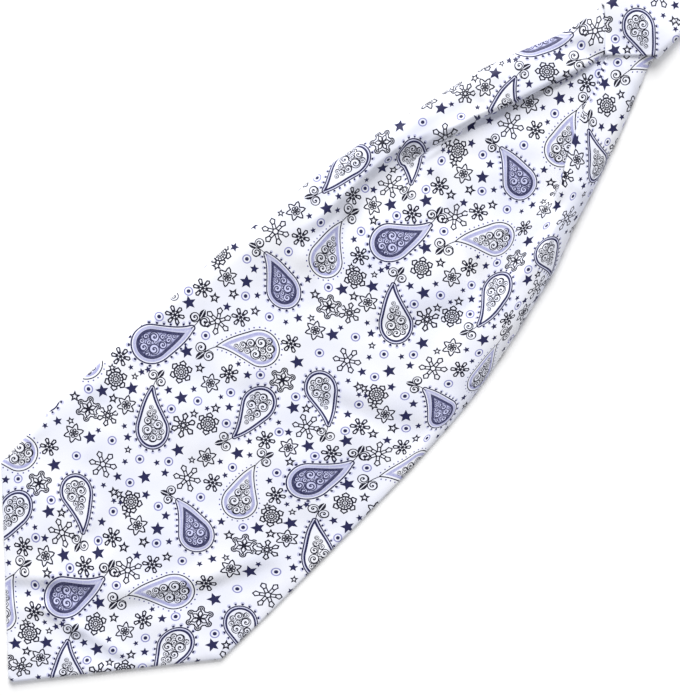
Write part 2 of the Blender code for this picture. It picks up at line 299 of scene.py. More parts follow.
@dataclass(frozen=True)
class Laying:
    """How a piece lay on the printed cloth: its turn in degrees, and where one of its points lay."""

    turn: float
    piece_point: tuple[float, float]
    print_point: tuple[float, float]

    def print_places(self, flat: np.ndarray) -> np.ndarray:
        """Turns places in the flat piece into places in the print.

        Args:
            flat: places along and across the piece, in millimetres, in the last axis.

        Returns:
            The places along and across the print, in millimetres.
        """
        angle = math.radians(self.turn)
        away = flat - np.array(self.piece_point)
        along = away[..., 0] * math.cos(angle) + away[..., 1] * math.sin(angle)
        across = away[..., 1] * math.cos(angle) - away[..., 0] * math.sin(angle)
        return np.stack((along, across), axis=-1) + np.array(self.print_point)


class Stamp:
    """One motif of the repeat, as a rule from places in the print to places in the motif."""

    def __init__(
        self,
        kind: Motif,
        centre: tuple[float, float],
        upward: tuple[float, float],
        scale: float,
    ) -> None:
        """Keeps the motif's own axes.

        Args:
            kind: the kind of motif.
            centre: its place in the repeat, in millimetres.
            upward: the direction of its own upward axis, in the print.
            scale: how many of its own units make a millimetre.
        """
        self.kind = kind
        self.centre = np.array(centre)
        self.up = np.array(upward) * scale
        self.aside = np.array((upward[1], -upward[0])) * scale
        self.scale = scale

    def steps(self, places: np.ndarray) -> np.ndarray:
        """Returns the shift of the nearest repeat of this motif from its first place.

        Args:
            places: places in the print, in the last axis.
        """
        strips = np.round((places[..., 0] - self.centre[0]) / STRIP_STEP)
        drop = self.centre[1] + strips * STRIP_DROP
        repeats = np.round((places[..., 1] - drop) / REPEAT_ACROSS)
        return np.stack((strips * STRIP_STEP, strips * STRIP_DROP + repeats * REPEAT_ACROSS), axis=-1)

    def own(self, places: np.ndarray, steps: np.ndarray) -> np.ndarray:
        """Returns places in the motif's own axes, (aside, up).

        Args:
            places: places in the print.
            steps: the shift of the repeat that they belong to.
        """
        away = places - self.centre - steps
        return np.stack((away @ self.aside, away @ self.up), axis=-1)

    def clearance(self, own: np.ndarray) -> np.ndarray:
        """Returns how far places in the motif's own axes are outside it, in millimetres.

        Args:
            own: places in the motif's own axes.
        """
        return (np.linalg.norm(own, axis=-1) - 1.0) / self.scale


class DropStamp(Stamp):
    """A paisley's stamp, whose own units are millimetres of the standard paisley."""

    def __init__(self, drop: Drop) -> None:
        """Works out the axes from the paisley's centre and tip."""
        run = np.array((drop.tip_along - drop.along, drop.tip_across - drop.across))
        length = float(np.linalg.norm(run))
        scale = PAISLEY_TIP / length
        super().__init__(drop.kind, (drop.along, drop.across), tuple(run / length), scale)
        self.aside = self.aside * drop.lean

    def clearance(self, own: np.ndarray) -> np.ndarray:
        """Returns how far places are outside the drop's fringe and its sprig, in millimetres."""
        half_angle = math.asin(PAISLEY_RADIUS / PAISLEY_TIP)
        aside, up = np.abs(own[..., 0]), own[..., 1]
        past = up * math.cos(half_angle) - aside * math.sin(half_angle)
        flank = aside * math.cos(half_angle) + up * math.sin(half_angle) - PAISLEY_RADIUS
        body = np.where(past < 0.0, np.hypot(aside, up) - PAISLEY_RADIUS, flank)
        beyond = past > PAISLEY_TIP * math.cos(half_angle)
        body = np.where(beyond, np.hypot(aside, up - PAISLEY_TIP), body) - PAISLEY_FRINGE
        sprig = np.linalg.norm(own - np.array(SPRIG_CENTRE), axis=-1) - SPRIG_RADIUS
        return np.minimum(body, sprig) / self.scale


def spot_stamps(chart: dict[Motif, tuple[Spot, ...]]) -> list[Stamp]:
    """Returns the stamps of round motifs, whose own units are their radius.

    Args:
        chart: the spots of each kind.
    """
    stamps = []
    for kind, spots in chart.items():
        for spot in spots:
            angle = math.radians(spot.turn)
            upward = (math.cos(angle), math.sin(angle))
            stamps.append(Stamp(kind, (spot.along, spot.across), upward, 1.0 / spot.radius))
    return stamps


PRINT_LAYERS: dict[str, list[Stamp]] = {
    "paisleys": [DropStamp(drop) for drop in PAISLEYS],
    "flowers": spot_stamps(FLOWERS),
    "stars": spot_stamps(STARS),
    "dots": spot_stamps(RINGED_DOTS),
}
# What faces carry that hold no motif, how far a motif's faces reach past it, and how near a code has to be.
OUTSIDE = 90.0
FACE_REACH = 1.6
CODE_REACH = 0.4


@dataclass
class Sheet:
    """A grid of cloth, with the place of every point in space and in the flat piece.

    Attributes:
        name: the piece's name.
        places: rows x columns x 3, in metres. Rows run along the cravat and columns across it.
        flat: rows x columns x 2, the place along and across the flat piece, in millimetres.
        laying: how the piece lay on the printed cloth.
    """

    name: str
    places: np.ndarray
    flat: np.ndarray
    laying: Laying

    def build(self, material: bpy.types.Material) -> bpy.types.Object:
        """Makes the shell, with the print's places in its faces' corners.

        Args:
            material: the cloth's material.

        Returns:
            The piece.
        """
        faces_along, faces_across = self.places.shape[0] - 1, self.places.shape[1] - 1
        grid = bmesh.new()
        bmesh.ops.create_grid(grid, x_segments=faces_along, y_segments=faces_across, size=0.5)
        mesh = bpy.data.meshes.new(self.name)
        grid.to_mesh(mesh)
        grid.free()
        unit = np.empty(len(mesh.vertices) * 3, np.float32)
        mesh.vertices.foreach_get("co", unit)
        unit = unit.reshape(-1, 3)
        row = np.rint((unit[:, 0] + 0.5) * faces_along).astype(int)
        column = np.rint((unit[:, 1] + 0.5) * faces_across).astype(int)
        mesh.vertices.foreach_set("co", self.places[row, column].astype(np.float32).ravel())
        self.stamp(mesh, self.flat[row, column])
        mesh.polygons.foreach_set("use_smooth", np.ones(len(mesh.polygons), bool))
        mesh.materials.append(material)
        mesh.update()
        piece = bpy.data.objects.new(self.name, mesh)
        bpy.context.collection.objects.link(piece)
        thicken = piece.modifiers.new("cloth", "SOLIDIFY")
        thicken.thickness = SHELL
        thicken.offset = 0.0
        thicken.use_even_offset = True
        return piece

    def stamp(self, mesh: bpy.types.Mesh, flat: np.ndarray) -> None:
        """Writes each layer's motif coordinates into the faces' corners, and the weave's into the points.

        Args:
            mesh: the sheet's mesh of four-sided faces.
            flat: each vertex's place in the flat piece.
        """
        corners = np.empty(len(mesh.loops), np.int32)
        mesh.loops.foreach_get("vertex_index", corners)
        corners = corners.reshape(-1, 4)
        places = self.laying.print_places(flat)
        corner_places = places[corners]
        centres = corner_places.mean(axis=1)
        for layer, stamps in PRINT_LAYERS.items():
            nearest = np.full(len(corners), FACE_REACH)
            owner = np.full(len(corners), -1)
            for i, stamp in enumerate(stamps):
                clearance = stamp.clearance(stamp.own(centres, stamp.steps(centres)))
                nearer = clearance < nearest
                nearest[nearer] = clearance[nearer]
                owner[nearer] = i
            values = np.full((*corners.shape, 3), OUTSIDE, np.float32)
            values[..., 2] = 0.0
            for i, stamp in enumerate(stamps):
                mine = owner == i
                steps = stamp.steps(centres[mine])[:, None, :]
                values[mine, :, :2] = stamp.own(corner_places[mine], steps)
                values[mine, :, 2] = stamp.kind.value
            attribute = mesh.attributes.new(layer, "FLOAT_VECTOR", "CORNER")
            attribute.data.foreach_set("vector", values.ravel())
        weave = np.zeros((len(places), 3), np.float32)
        weave[:, :2] = places
        attribute = mesh.attributes.new("weave", "FLOAT_VECTOR", "POINT")
        attribute.data.foreach_set("vector", weave.ravel())

    def flat_area(self) -> float:
        """Returns the flat piece's area in square metres."""
        sides = self.flat[1:, :-1] - self.flat[:-1, :-1], self.flat[:-1, 1:] - self.flat[:-1, :-1]
        area = np.abs(sides[0][..., 0] * sides[1][..., 1] - sides[0][..., 1] * sides[1][..., 0])
        return float(area.sum()) * MM * MM

    def flat_size(self) -> tuple[float, float]:
        """Returns the flat piece's width and length in metres."""
        spans = np.ptp(self.flat.reshape(-1, 2), axis=0) * MM
        return float(spans[1]), float(spans[0])


def smooth_step(share: np.ndarray | float) -> np.ndarray | float:
    """Rises from 0 to 1 with level ends."""
    share = np.clip(share, 0.0, 1.0)
    return share * share * (3.0 - 2.0 * share)


def rounded(share: np.ndarray) -> np.ndarray:
    """Rises from 0 to 1 as a quarter of a circle."""
    short = 1.0 - np.clip(share, 0.0, 1.0)
    return np.sqrt(1.0 - short * short)


def smooth_curve(x: float, xs: np.ndarray, ys: np.ndarray) -> float:
    """Returns the height of a smooth curve through points, with no overshoot between them.

    Args:
        x: where to read the curve.
        xs: the points' places, rising.
        ys: the points' heights.
    """
    steps = np.diff(xs)
    slopes = np.diff(ys) / steps
    before, after = slopes[:-1], slopes[1:]
    one_way = before * after > 0.0
    tangents = np.zeros(len(xs))
    tangents[1:-1] = np.where(one_way, 2.0 * before * after / np.where(one_way, before + after, 1.0), 0.0)
    i = int(np.clip(np.searchsorted(xs, x) - 1, 0, len(steps) - 1))
    t = min(max((x - xs[i]) / steps[i], 0.0), 1.0)
    value = ys[i] + (ys[i + 1] - ys[i]) * t * t * (3.0 - 2.0 * t)
    return float(value + steps[i] * t * (1.0 - t) * ((1.0 - t) * tangents[i] - t * tangents[i + 1]))


class Row(NamedTuple):
    """One section of a blade, in millimetres from the tip and across.

    The edges and the folds are places across the blade. A pleat's depth is how far its cloth runs back
    under the flap. Height is the middle's own, and skew is how far the cloth there has shifted sideways.
    """

    along: float
    left_edge: float
    right_edge: float
    left_fold: float
    left_depth: float
    right_fold: float
    right_depth: float
    fold_radius: float
    height: float
    skew: float


class Crease(NamedTuple):
    """A soft trough along a line over the cloth, in millimetres. A ridge has a depth below zero."""

    along_1: float
    across_1: float
    along_2: float
    across_2: float
    width: float
    depth: float


class Drift(NamedTuple):
    """A soft shift of the print, where the cloth lies a little askew. All values are millimetres."""

    along: float
    across: float
    reach_along: float
    reach_across: float
    shift_along: float
    shift_across: float


class TakeUp(NamedTuple):
    """How much cloth each pleat takes up at a distance from the tip, in millimetres."""

    along: float
    left: float
    right: float


class Side(NamedTuple):
    """One side of a blade's section. All places are measured outwards from the blade's core line.

    Rounding, sag, gather and rise are the blade's own values for this side, as they are at this section.
    """

    edge: float
    fold: float
    depth: float
    fold_radius: float
    skew: float
    cut: float
    roll_most: float
    rounding: float
    sag: float
    gather: float
    rise: float


class Rumple(NamedTuple):
    """Shallow unevenness: how wide and high its swells are, in millimetres, and where its noise starts."""

    reach: float
    height: float
    start: float


def rumpling(along: float, across: np.ndarray, rumples: Sequence[Rumple]) -> np.ndarray:
    """Returns the height of the shallow unevenness at places of one section, in metres.

    Args:
        along: the section's distance from the tip, in metres.
        across: places across it, in metres.
        rumples: the layers of unevenness.
    """
    total = np.zeros(len(across))
    for rumple in rumples:
        reach = rumple.reach * MM
        swells = [noise.noise(Vector((along / reach, place / reach, rumple.start))) for place in across]
        total += rumple.height * MM * np.array(swells)
    return total


def lowering(along: float, across: np.ndarray, creases: Sequence[Crease]) -> np.ndarray:
    """Returns how far the creases lower the cloth at places of one section.

    Args:
        along: the section's distance from the tip, in metres.
        across: places across it, in metres.
        creases: the troughs and ridges.
    """
    total = np.zeros(len(across))
    for crease in creases:
        start = np.array((crease.along_1, crease.across_1)) * MM
        run = np.array((crease.along_2, crease.across_2)) * MM - start
        offset = np.stack((np.full(len(across), along), across), axis=-1) - start
        share = np.clip(offset @ run / (run @ run), 0.0, 1.0)
        away = np.linalg.norm(offset - share[:, None] * run, axis=-1) / (crease.width * MM)
        total += crease.depth * MM * np.exp(-away * away)
    return total


@dataclass
class Blade:
    """A blade of the cravat: a pointed front with two pleats and rolled edges, and its level back.

    Attributes:
        name: the start of its pieces' names.
        tip_across: the tip's place across, in millimetres.
        left_corner: how far from the tip the left slanted edge ends, in millimetres.
        right_corner: the same on the right.
        mirrored: whether the blade lies at the far end of the cravat.
        rows: its sections.
        creases: its soft troughs and ridges.
        rumples: the shallow unevenness of its front.
        roundings: how far in the cloth curves down to the left and the right roll, in millimetres.
        sags: how much of its radius the left and the right roll's outermost line has sunk.
        gathers: how much more cloth lies along the left and the right edge than its run.
        flap_rises: the share of the left and the right flap's width over which it rises.
        drifts: where its cloth lies askew.
        taken: the cloth that its pleats take up.
        flap_pivots: how far out the cloth of the left and the right flap hasn't slid along, in millimetres.
        front_laying: how the front was laid on the print.
        back_laying: how the back was laid on the print.
    """

    name: str
    tip_across: float
    left_corner: float
    right_corner: float
    mirrored: bool
    rows: tuple[Row, ...]
    creases: tuple[Crease, ...]
    rumples: tuple[Rumple, ...]
    roundings: tuple[float, float]
    sags: tuple[float, float]
    gathers: tuple[float, float]
    flap_rises: tuple[float, float]
    drifts: tuple[Drift, ...]
    taken: tuple[TakeUp, ...]
    flap_pivots: tuple[float, float]
    front_laying: Laying
    back_laying: Laying

    cut_half_width: float = 77.5 * MM
    cut_half_width_at_neck: float = 65.0 * MM
    cut_taper_start: float = 300.0 * MM
    tip_turning: float = 3.3 * MM
    roll_least: float = 0.6 * MM
    roll_most: float = 4.0 * MM
    roll_at_neck: float = 2.1 * MM
    neck_start: float = 400.0 * MM
    lip_least: float = 0.4 * MM
    lip_share_at_tip: float = 0.3
    cloth_per_roll_radius: float = 3.2
    edge_fade: float = 7.0 * MM
    least_height: float = 1.3 * MM
    least_room: float = 0.1 * MM
    most_rounding: float = 3.8
    rounding_share: float = 0.9
    least_rounding: float = 4.0 * MM
    steep_start: float = 205.0 * MM
    steep_fade: float = 40.0 * MM
    gather_width: float = 15.0 * MM
    rise_start: float = 238.0 * MM
    print_steps: tuple[float, float] = (0.22, 0.95)
    step_start: float = 348.0 * MM
    step_fade: float = 34.0 * MM
    gather_end: float = 385.0 * MM
    flap_start: float = 290.0 * MM
    flap_whole: float = 325.0 * MM
    flap_spread: float = 17.0 * MM
    spread_ends: tuple[float, float] = (336.0 * MM, 378.0 * MM)
    spread_fade: float = 20.0 * MM
    flap_turn: float = 0.29
    flap_slip: float = 0.04
    first_row: float = 1.6 * MM
    row_step: float = 1.75 * MM
    lip_faces: int = 3
    roll_faces: int = 8
    flap_faces: int = 25
    fold_faces: int = 6
    return_faces: int = 8
    middle_faces: int = 44
    fold_samples: int = 241
    back_first_row: float = 8.0 * MM
    back_faces: int = 84

    def side(self, along: float, row: Row, sign: float) -> Side:
        """Returns one side's values, with the edge on the tip's slant where that lies further in.

        Args:
            along: the section's distance from the tip, in metres.
            row: the section's values, in metres.
            sign: 1 for the left side and -1 for the right.
        """
        corner = (self.left_corner if sign > 0 else self.right_corner) * MM
        edge, fold, depth = (
            (row.left_edge, row.left_fold, row.left_depth)
            if sign > 0
            else (row.right_edge, row.right_fold, row.right_depth)
        )
        tip = self.tip_across * MM
        if along < corner:
            edge = tip + (edge - tip) * along / corner
        tip_share = self.tip_share(along)
        edge = (edge - tip * (1.0 - tip_share)) * sign
        taper = max(along - self.cut_taper_start, 0.0) / (BLADE_LENGTH - self.cut_taper_start)
        cut = self.cut_half_width + (self.cut_half_width_at_neck - self.cut_half_width) * taper
        if along < corner:
            cut = min(cut, edge + self.tip_turning)
        at_neck = smooth_step((along - self.neck_start) / (BLADE_LENGTH - self.neck_start))
        at = 0 if sign > 0 else 1
        steep = float(smooth_step((along - self.steep_start) / self.steep_fade))
        rounding = self.least_rounding + (self.roundings[at] * MM - self.least_rounding) * steep
        risen = float(smooth_step((along - self.rise_start) / self.steep_fade))
        ungathered = float(smooth_step((along - self.gather_end) / self.steep_fade))
        return Side(
            edge=edge,
            fold=fold * sign * tip_share,
            depth=depth,
            fold_radius=row.fold_radius * tip_share,
            skew=row.skew * sign,
            cut=cut,
            roll_most=self.roll_most + (self.roll_at_neck - self.roll_most) * float(at_neck),
            rounding=rounding * tip_share,
            sag=self.sags[at] * steep,
            gather=self.gathers[at] * steep * (1.0 - ungathered),
            rise=1.0 + (self.flap_rises[at] - 1.0) * risen,
        )

    def tip_share(self, along: float) -> float:
        """Returns how far a section has come from the tip to the nearer corner, from 0 to 1."""
        return min(along / (min(self.left_corner, self.right_corner) * MM), 1.0)

    def half(self, side: Side, height: float, whole: bool) -> np.ndarray:
        """Returns the points of one side, from the end of its middle to its seam.

        Args:
            side: the side's values.
            height: the middle's height.
            whole: whether the section is past the tip's slant.

        Returns:
            An array of (outwards, up, cloth, turned). Cloth is the way out over the opened cloth, less what
            the pleat takes up. Turned is 0 before the pleat and 1 past it.
        """
        radius, depth = side.fold_radius, side.depth
        arc = math.pi * radius
        length = depth + arc
        cloth = np.linspace(0.0, length, self.fold_samples)
        turn = (np.clip(cloth, 0.0, arc) - np.clip(cloth - depth, 0.0, arc)) / radius
        halfway = (turn[1:] + turn[:-1]) / 2.0
        out = np.concatenate(((0.0,), np.cumsum(np.cos(halfway) * cloth[1])))
        up = np.concatenate(((0.0,), np.cumsum(np.sin(halfway) * cloth[1])))
        folded = min(depth / arc, 1.0)
        start = side.fold + WALL / 2.0 * folded - float(np.interp(depth + arc / 2.0, cloth, out))

        first_bend = arc * (0.45 + 0.5 * folded)
        second_bend = length - first_bend
        pleat = np.concatenate(
            (
                np.linspace(0.0, first_bend, self.fold_faces + 1),
                np.linspace(first_bend, second_bend, self.return_faces + 1)[1:],
                np.linspace(second_bend, length, self.fold_faces + 1)[1:],
            )
        )
        pleat_out = start + np.interp(pleat, cloth, out)
        pleat_up = height + np.interp(pleat, cloth, up)

        flap_start, flap_height = pleat_out[-1], pleat_up[-1]
        first_cloth = start - side.skew
        hidden = side.cut - (first_cloth + length + side.edge - flap_start)
        roll = (hidden - self.lip_least) / self.cloth_per_roll_radius
        roll = min(max(roll, self.roll_least), side.roll_most)
        roll = max(roll, folded * (flap_height - WALL / 2.0) / 2.0)
        roll_start = side.edge - SHELL / 2.0 - roll
        lip = max(hidden - (math.pi - 1.0) * roll, self.lip_least)
        lip = min(lip, roll_start * (1.0 if whole else self.lip_share_at_tip))
        share = np.linspace(0.0, 1.0, self.flap_faces + 1)[1:]
        flap_out = flap_start + (roll_start - flap_start) * share
        flap_up = flap_height + (WALL / 2.0 + 2.0 * roll - flap_height) * smooth_step(share / side.rise)
        angle = np.linspace(0.0, math.pi, self.roll_faces + 1)[1:]
        roll_out = roll_start + roll * np.sin(angle)

        outermost = roll_start + roll
        level = WALL / 2.0 + roll * (1.0 - side.sag)
        widest = (roll_start - flap_start) * self.rounding_share
        inwards = min(side.rounding, self.most_rounding * roll, widest)
        reach = inwards + roll
        flap_up = level + (flap_up - level) * rounded((outermost - flap_out) / reach)
        falling = level + (WALL / 2.0 + 2.0 * roll - level) * rounded((outermost - roll_out) / reach)
        beneath = WALL / 2.0 + (level - WALL / 2.0) * (1.0 + np.cos(angle))
        roll_up = np.where(angle < math.pi / 2.0, falling, beneath)
        lip_away = np.linspace(0.0, lip, self.lip_faces + 1)[1:]
        out_all = (pleat_out, flap_out, roll_out, roll_start - lip_away)
        up_all = (pleat_up, flap_up, roll_up, np.full(self.lip_faces, WALL / 2.0))

        past_pleat = slice(len(pleat) - 1, None)
        outer = np.stack((np.concatenate(out_all)[past_pleat], np.concatenate(up_all)[past_pleat]), axis=-1)
        steps = np.linalg.norm(np.diff(outer, axis=0), axis=-1)
        from_edge = outermost - (outer[1:, 0] + outer[:-1, 0]) / 2.0
        steps *= 1.0 + side.gather * smooth_step(1.0 - from_edge / self.gather_width)
        beyond = flap_start + np.cumsum(steps)
        share = pleat / length
        opened = start + (flap_start - start) * share - side.skew * (1.0 - share)
        cloth_all = np.concatenate((opened, beyond))
        turned = np.concatenate((share, np.ones(len(beyond))))
        return np.stack((np.concatenate(out_all), np.concatenate(up_all), cloth_all, turned), axis=-1)

    def front_section(self, along: float) -> np.ndarray:
        """Returns the front's points at a distance from the tip, from the right seam to the left one.

        Towards the tip, where nothing is folded, the points on top grow evenly spaced.

        Returns:
            An array of (across, up, cloth along, cloth across), in metres.
        """
        table = np.array(self.rows) * MM
        row = Row(*(smooth_curve(along, table[:, 0], table[:, i]) for i in range(table.shape[1])))
        share = self.tip_share(along)
        core = self.tip_across * MM * (1.0 - share)
        left = self.half(self.side(along, row, 1.0), row.height, share == 1.0)
        right = self.half(self.side(along, row, -1.0), row.height, share == 1.0)
        right *= np.array((-1.0, 1.0, -1.0, -1.0))
        steps = np.linspace(0.0, 1.0, self.middle_faces + 1)[1:-1, None]
        middle = right[0] + (left[0] - right[0]) * steps
        points = np.concatenate((right[::-1], middle, left))
        points[:, 0] += core
        points[:, 2] += core
        under = self.roll_faces + self.lip_faces
        first, last = under, len(points) - 1 - under
        even = np.linspace(0.0, 1.0, last - first + 1)
        laid = smooth_step(share)
        top = points[first : last + 1]
        for i in (0, 2):
            spread = top[0, i] + (top[-1, i] - top[0, i]) * even
            top[:, i] = spread + (top[:, i] - spread) * laid
        inside = np.minimum(top[:, 0] - top[0, 0], top[-1, 0] - top[:, 0])
        drop = lowering(along, top[:, 0], self.creases) - rumpling(along, top[:, 0], self.rumples)
        drop *= smooth_step(inside / self.edge_fade)
        room = np.maximum(top[:, 1] - self.least_height, self.least_room)
        top[:, 1] -= np.where(drop > 0.0, room * np.tanh(drop / room), drop)
        folds = (row.left_fold, -row.right_fold)
        return np.column_stack((points[:, :2], self.cloth(along, points[:, 2], points[:, 3], folds)))

    def cloth(
        self,
        along: float,
        opened: np.ndarray,
        turned: np.ndarray,
        folds: tuple[float, float],
    ) -> np.ndarray:
        """Returns the places in the cut cloth, along and across, of one section's points.

        Past a pleat the flap's cloth is turned a little, so that it slides along the more the further in it
        is. Where the pleat has opened, the cloth that it takes up is spread softly over its sides.

        Args:
            along: the section's distance from the tip.
            opened: the way across the opened cloth.
            turned: how far a point is through a pleat, below zero on the right.
            folds: how far out the left and the right fold are.
        """
        place = np.stack((np.full(len(opened), along), opened), axis=-1)
        lain = place.copy()
        for drift in self.drifts:
            reach = np.array((drift.reach_along, drift.reach_across)) * MM
            away = (place - np.array((drift.along, drift.across)) * MM) / reach
            fade = np.exp(-(away * away).sum(axis=-1, keepdims=True))
            lain += fade * np.array((drift.shift_along, drift.shift_across)) * MM
        table = np.array(self.taken) * MM
        sides = np.where(turned == 0.0, np.sign(opened), np.sign(turned))
        left = smooth_curve(along, table[:, 0], table[:, 1])
        right = smooth_curve(along, table[:, 0], table[:, 2])
        taken = np.where(sides > 0.0, left, right)
        pivot = np.where(sides > 0.0, self.flap_pivots[0], self.flap_pivots[1]) * MM
        slid = self.flap_turn * (pivot - opened * sides) - self.flap_slip * (along - self.flap_whole)
        flap = np.stack((along + slid, opened + taken * sides), axis=-1)
        spread_ends = np.where(sides > 0.0, *self.spread_ends)
        pleated = smooth_step((along - spread_ends) / self.spread_fade + 1.0)
        from_fold = opened * sides - np.where(sides > 0.0, *folds)
        softly = smooth_step(0.5 + 0.5 * from_fold / self.flap_spread)
        least, most = self.print_steps
        step = least + (most - least) * float(smooth_step((along - self.step_start) / self.step_fade))
        stepped = smooth_step(0.5 + (np.abs(turned) - 0.5) / step)
        share = stepped * pleated + softly * (1.0 - pleated)
        share = share * smooth_step((along - self.flap_start) / (self.flap_whole - self.flap_start))
        return lain + (flap - lain) * share[:, None]

    def lay(self, along: np.ndarray, across: np.ndarray, up: np.ndarray) -> np.ndarray:
        """Returns points in the cravat's own frame, rows rising in X."""
        x = TOTAL_LENGTH / 2.0 - along if self.mirrored else along - TOTAL_LENGTH / 2.0
        places = np.stack((x, across, up), axis=-1)
        return places[::-1] if self.mirrored else places

    def cloth_places(self, along: np.ndarray, across: np.ndarray) -> np.ndarray:
        """Returns the places in the flat piece in millimetres, half turned where the blade is mirrored."""
        if self.mirrored:
            return np.stack((along, -across), axis=-1)[::-1] / MM
        return np.stack((along, across), axis=-1) / MM

    def front(self) -> Sheet:
        """Returns the front's sheet."""
        corners = sorted((self.left_corner * MM, self.right_corner * MM))
        bounds = [self.first_row, *corners, BLADE_LENGTH]
        stations = [np.array((self.first_row,))]
        for start, end in zip(bounds[:-1], bounds[1:]):
            count = max(round((end - start) / self.row_step), 1)
            stations.append(np.linspace(start, end, count + 1)[1:])
        along = np.concatenate(stations)
        sections = np.array([self.front_section(float(place)) for place in along])
        far = np.repeat(along[:, None], sections.shape[1], axis=1)
        places = self.lay(far, sections[..., 0], sections[..., 1])
        flat = self.cloth_places(sections[..., 2], sections[..., 3])
        return Sheet(self.name + "_front_silk", places, flat, self.front_laying)

    def back(self) -> Sheet:
        """Returns the back's sheet, level between the front's two lips."""
        count = round((BLADE_LENGTH - self.back_first_row) / self.row_step)
        along = np.linspace(self.back_first_row, BLADE_LENGTH, count + 1)
        ends = np.array([self.front_section(float(place))[[0, -1], 0] for place in along])
        share = np.linspace(0.0, 1.0, self.back_faces + 1)
        right, left = ends[:, :1] + SEAM_GAP, ends[:, 1:] - SEAM_GAP
        across = right + (left - right) * share
        far = np.repeat(along[:, None], len(share), axis=1)
        places = self.lay(far, across, np.full(across.shape, WALL / 2.0))
        return Sheet(self.name + "_back_silk", places, self.cloth_places(far, across), self.back_laying)


@dataclass
class Neckband:
    """The straight band between the blades: a top layer with pointed ends, and a level under layer.

    Attributes:
        creases: its soft troughs and ridges, along the whole cravat and across it.
        top_laying: how the top layer was laid on the print.
        under_laying: how the under layer was laid on the print.
    """

    creases: tuple[Crease, ...]
    top_laying: Laying
    under_laying: Laying

    half_width: float = 20.0 * MM
    centre: float = 4.0 * MM
    point: float = 436.0 * MM
    height: float = 2.3 * MM
    height_on_pleats: float = 6.6 * MM
    ramp: float = 34.0 * MM
    lip: float = 0.8 * MM
    edge_share: float = 0.05
    edge_fade: float = 4.0 * MM
    half_top_faces: int = 13
    roll_faces: int = 8
    half_rows: int = 98
    under_faces: int = 24

    def level(self, distance: float) -> float:
        """Returns the height of the top layer at a distance from the nearer tip."""
        fall = float(smooth_step((distance - BAND_START) / self.ramp))
        return self.height_on_pleats + (self.height - self.height_on_pleats) * fall

    def half_section(self, distance: float) -> np.ndarray:
        """Returns half of the top layer as (out, up, cloth), from its middle to the end of its lip.

        Args:
            distance: how far the section is from the nearer tip.
        """
        level = self.level(distance)
        roll = (level - WALL / 2.0) / 2.0
        roll_start = self.half_width - SHELL / 2.0 - roll
        top = np.linspace(0.0, roll_start, self.half_top_faces + 1)
        angle = np.linspace(0.0, math.pi, self.roll_faces + 1)[1:]
        out = np.concatenate((top, roll_start + roll * np.sin(angle), (roll_start - self.lip,)))
        up = np.concatenate((np.full(len(top), level), level - roll * (1.0 - np.cos(angle)), (WALL / 2.0,)))
        cloth = np.concatenate((top, roll_start + roll * angle, (roll_start + roll * math.pi + self.lip,)))
        return np.stack((out, up, cloth), axis=-1)

    def column_starts(self) -> np.ndarray:
        """Returns where each column starts, from the middle outwards: the point slants on to the rolls."""
        section = self.half_section(BAND_START)
        first_roll = section[self.half_top_faces + 1, 2]
        reach = np.minimum(section[:, 2] / first_roll, 1.0)
        return self.point + (BAND_START - self.point) * reach

    def top(self) -> Sheet:
        """Returns the top layer's sheet."""
        starts = self.column_starts()
        middle = TOTAL_LENGTH / 2.0
        columns = len(starts)
        mirrored = np.concatenate((np.arange(columns)[:0:-1], np.arange(columns)))
        sign = np.concatenate((-np.ones(columns - 1), np.ones(columns)))
        halves = []
        for share in np.linspace(0.0, 1.0, self.half_rows + 1):
            distances = starts + (middle - starts) * share
            half = np.array([self.half_section(float(distances[k]))[k] for k in range(columns)])
            halves.append(np.column_stack((distances, half))[mirrored])
        near = np.array(halves)
        near[..., 1] *= sign
        near[..., 3] *= sign
        far = near[-2::-1].copy()
        far[..., 0] = TOTAL_LENGTH - far[..., 0]
        rows = np.concatenate((near, far))
        along, across, up, cloth = (rows[..., i] for i in range(4))
        across = across + self.centre
        inside = np.minimum(across - across.min(), across.max() - across) - self.half_width * self.edge_share
        on_top = np.abs(across - self.centre) < self.half_width - SHELL
        column = np.arange(len(sign))
        on_top &= (column >= self.roll_faces + 1) & (column < len(sign) - self.roll_faces - 1)
        fade = smooth_step(inside / self.edge_fade) * on_top
        for i in range(len(along)):
            points = zip(along[i], across[i])
            drop = [lowering(float(a), np.array((y,)), self.creases)[0] for a, y in points]
            up[i] -= np.array(drop) * fade[i]
        places = np.stack((along - middle, across, up), axis=-1)
        flat = np.stack((along, cloth + self.centre), axis=-1) / MM
        return Sheet("neckband_front_silk", places, flat, self.top_laying)

    def under(self) -> Sheet:
        """Returns the under layer's sheet."""
        middle = TOTAL_LENGTH / 2.0
        along = np.linspace(BAND_START, TOTAL_LENGTH - BAND_START, 2 * self.half_rows + 1)
        edge = np.array([self.half_section(min(a, TOTAL_LENGTH - a))[-1, 0] for a in along]) - SEAM_GAP
        share = np.linspace(-1.0, 1.0, self.under_faces + 1)
        across = self.centre + edge[:, None] * share
        far = np.repeat(along[:, None], len(share), axis=1)
        places = np.stack((far - middle, across, np.full(across.shape, WALL / 2.0)), axis=-1)
        flat = np.stack((far, across), axis=-1) / MM
        return Sheet("neckband_back_silk", places, flat, self.under_laying)


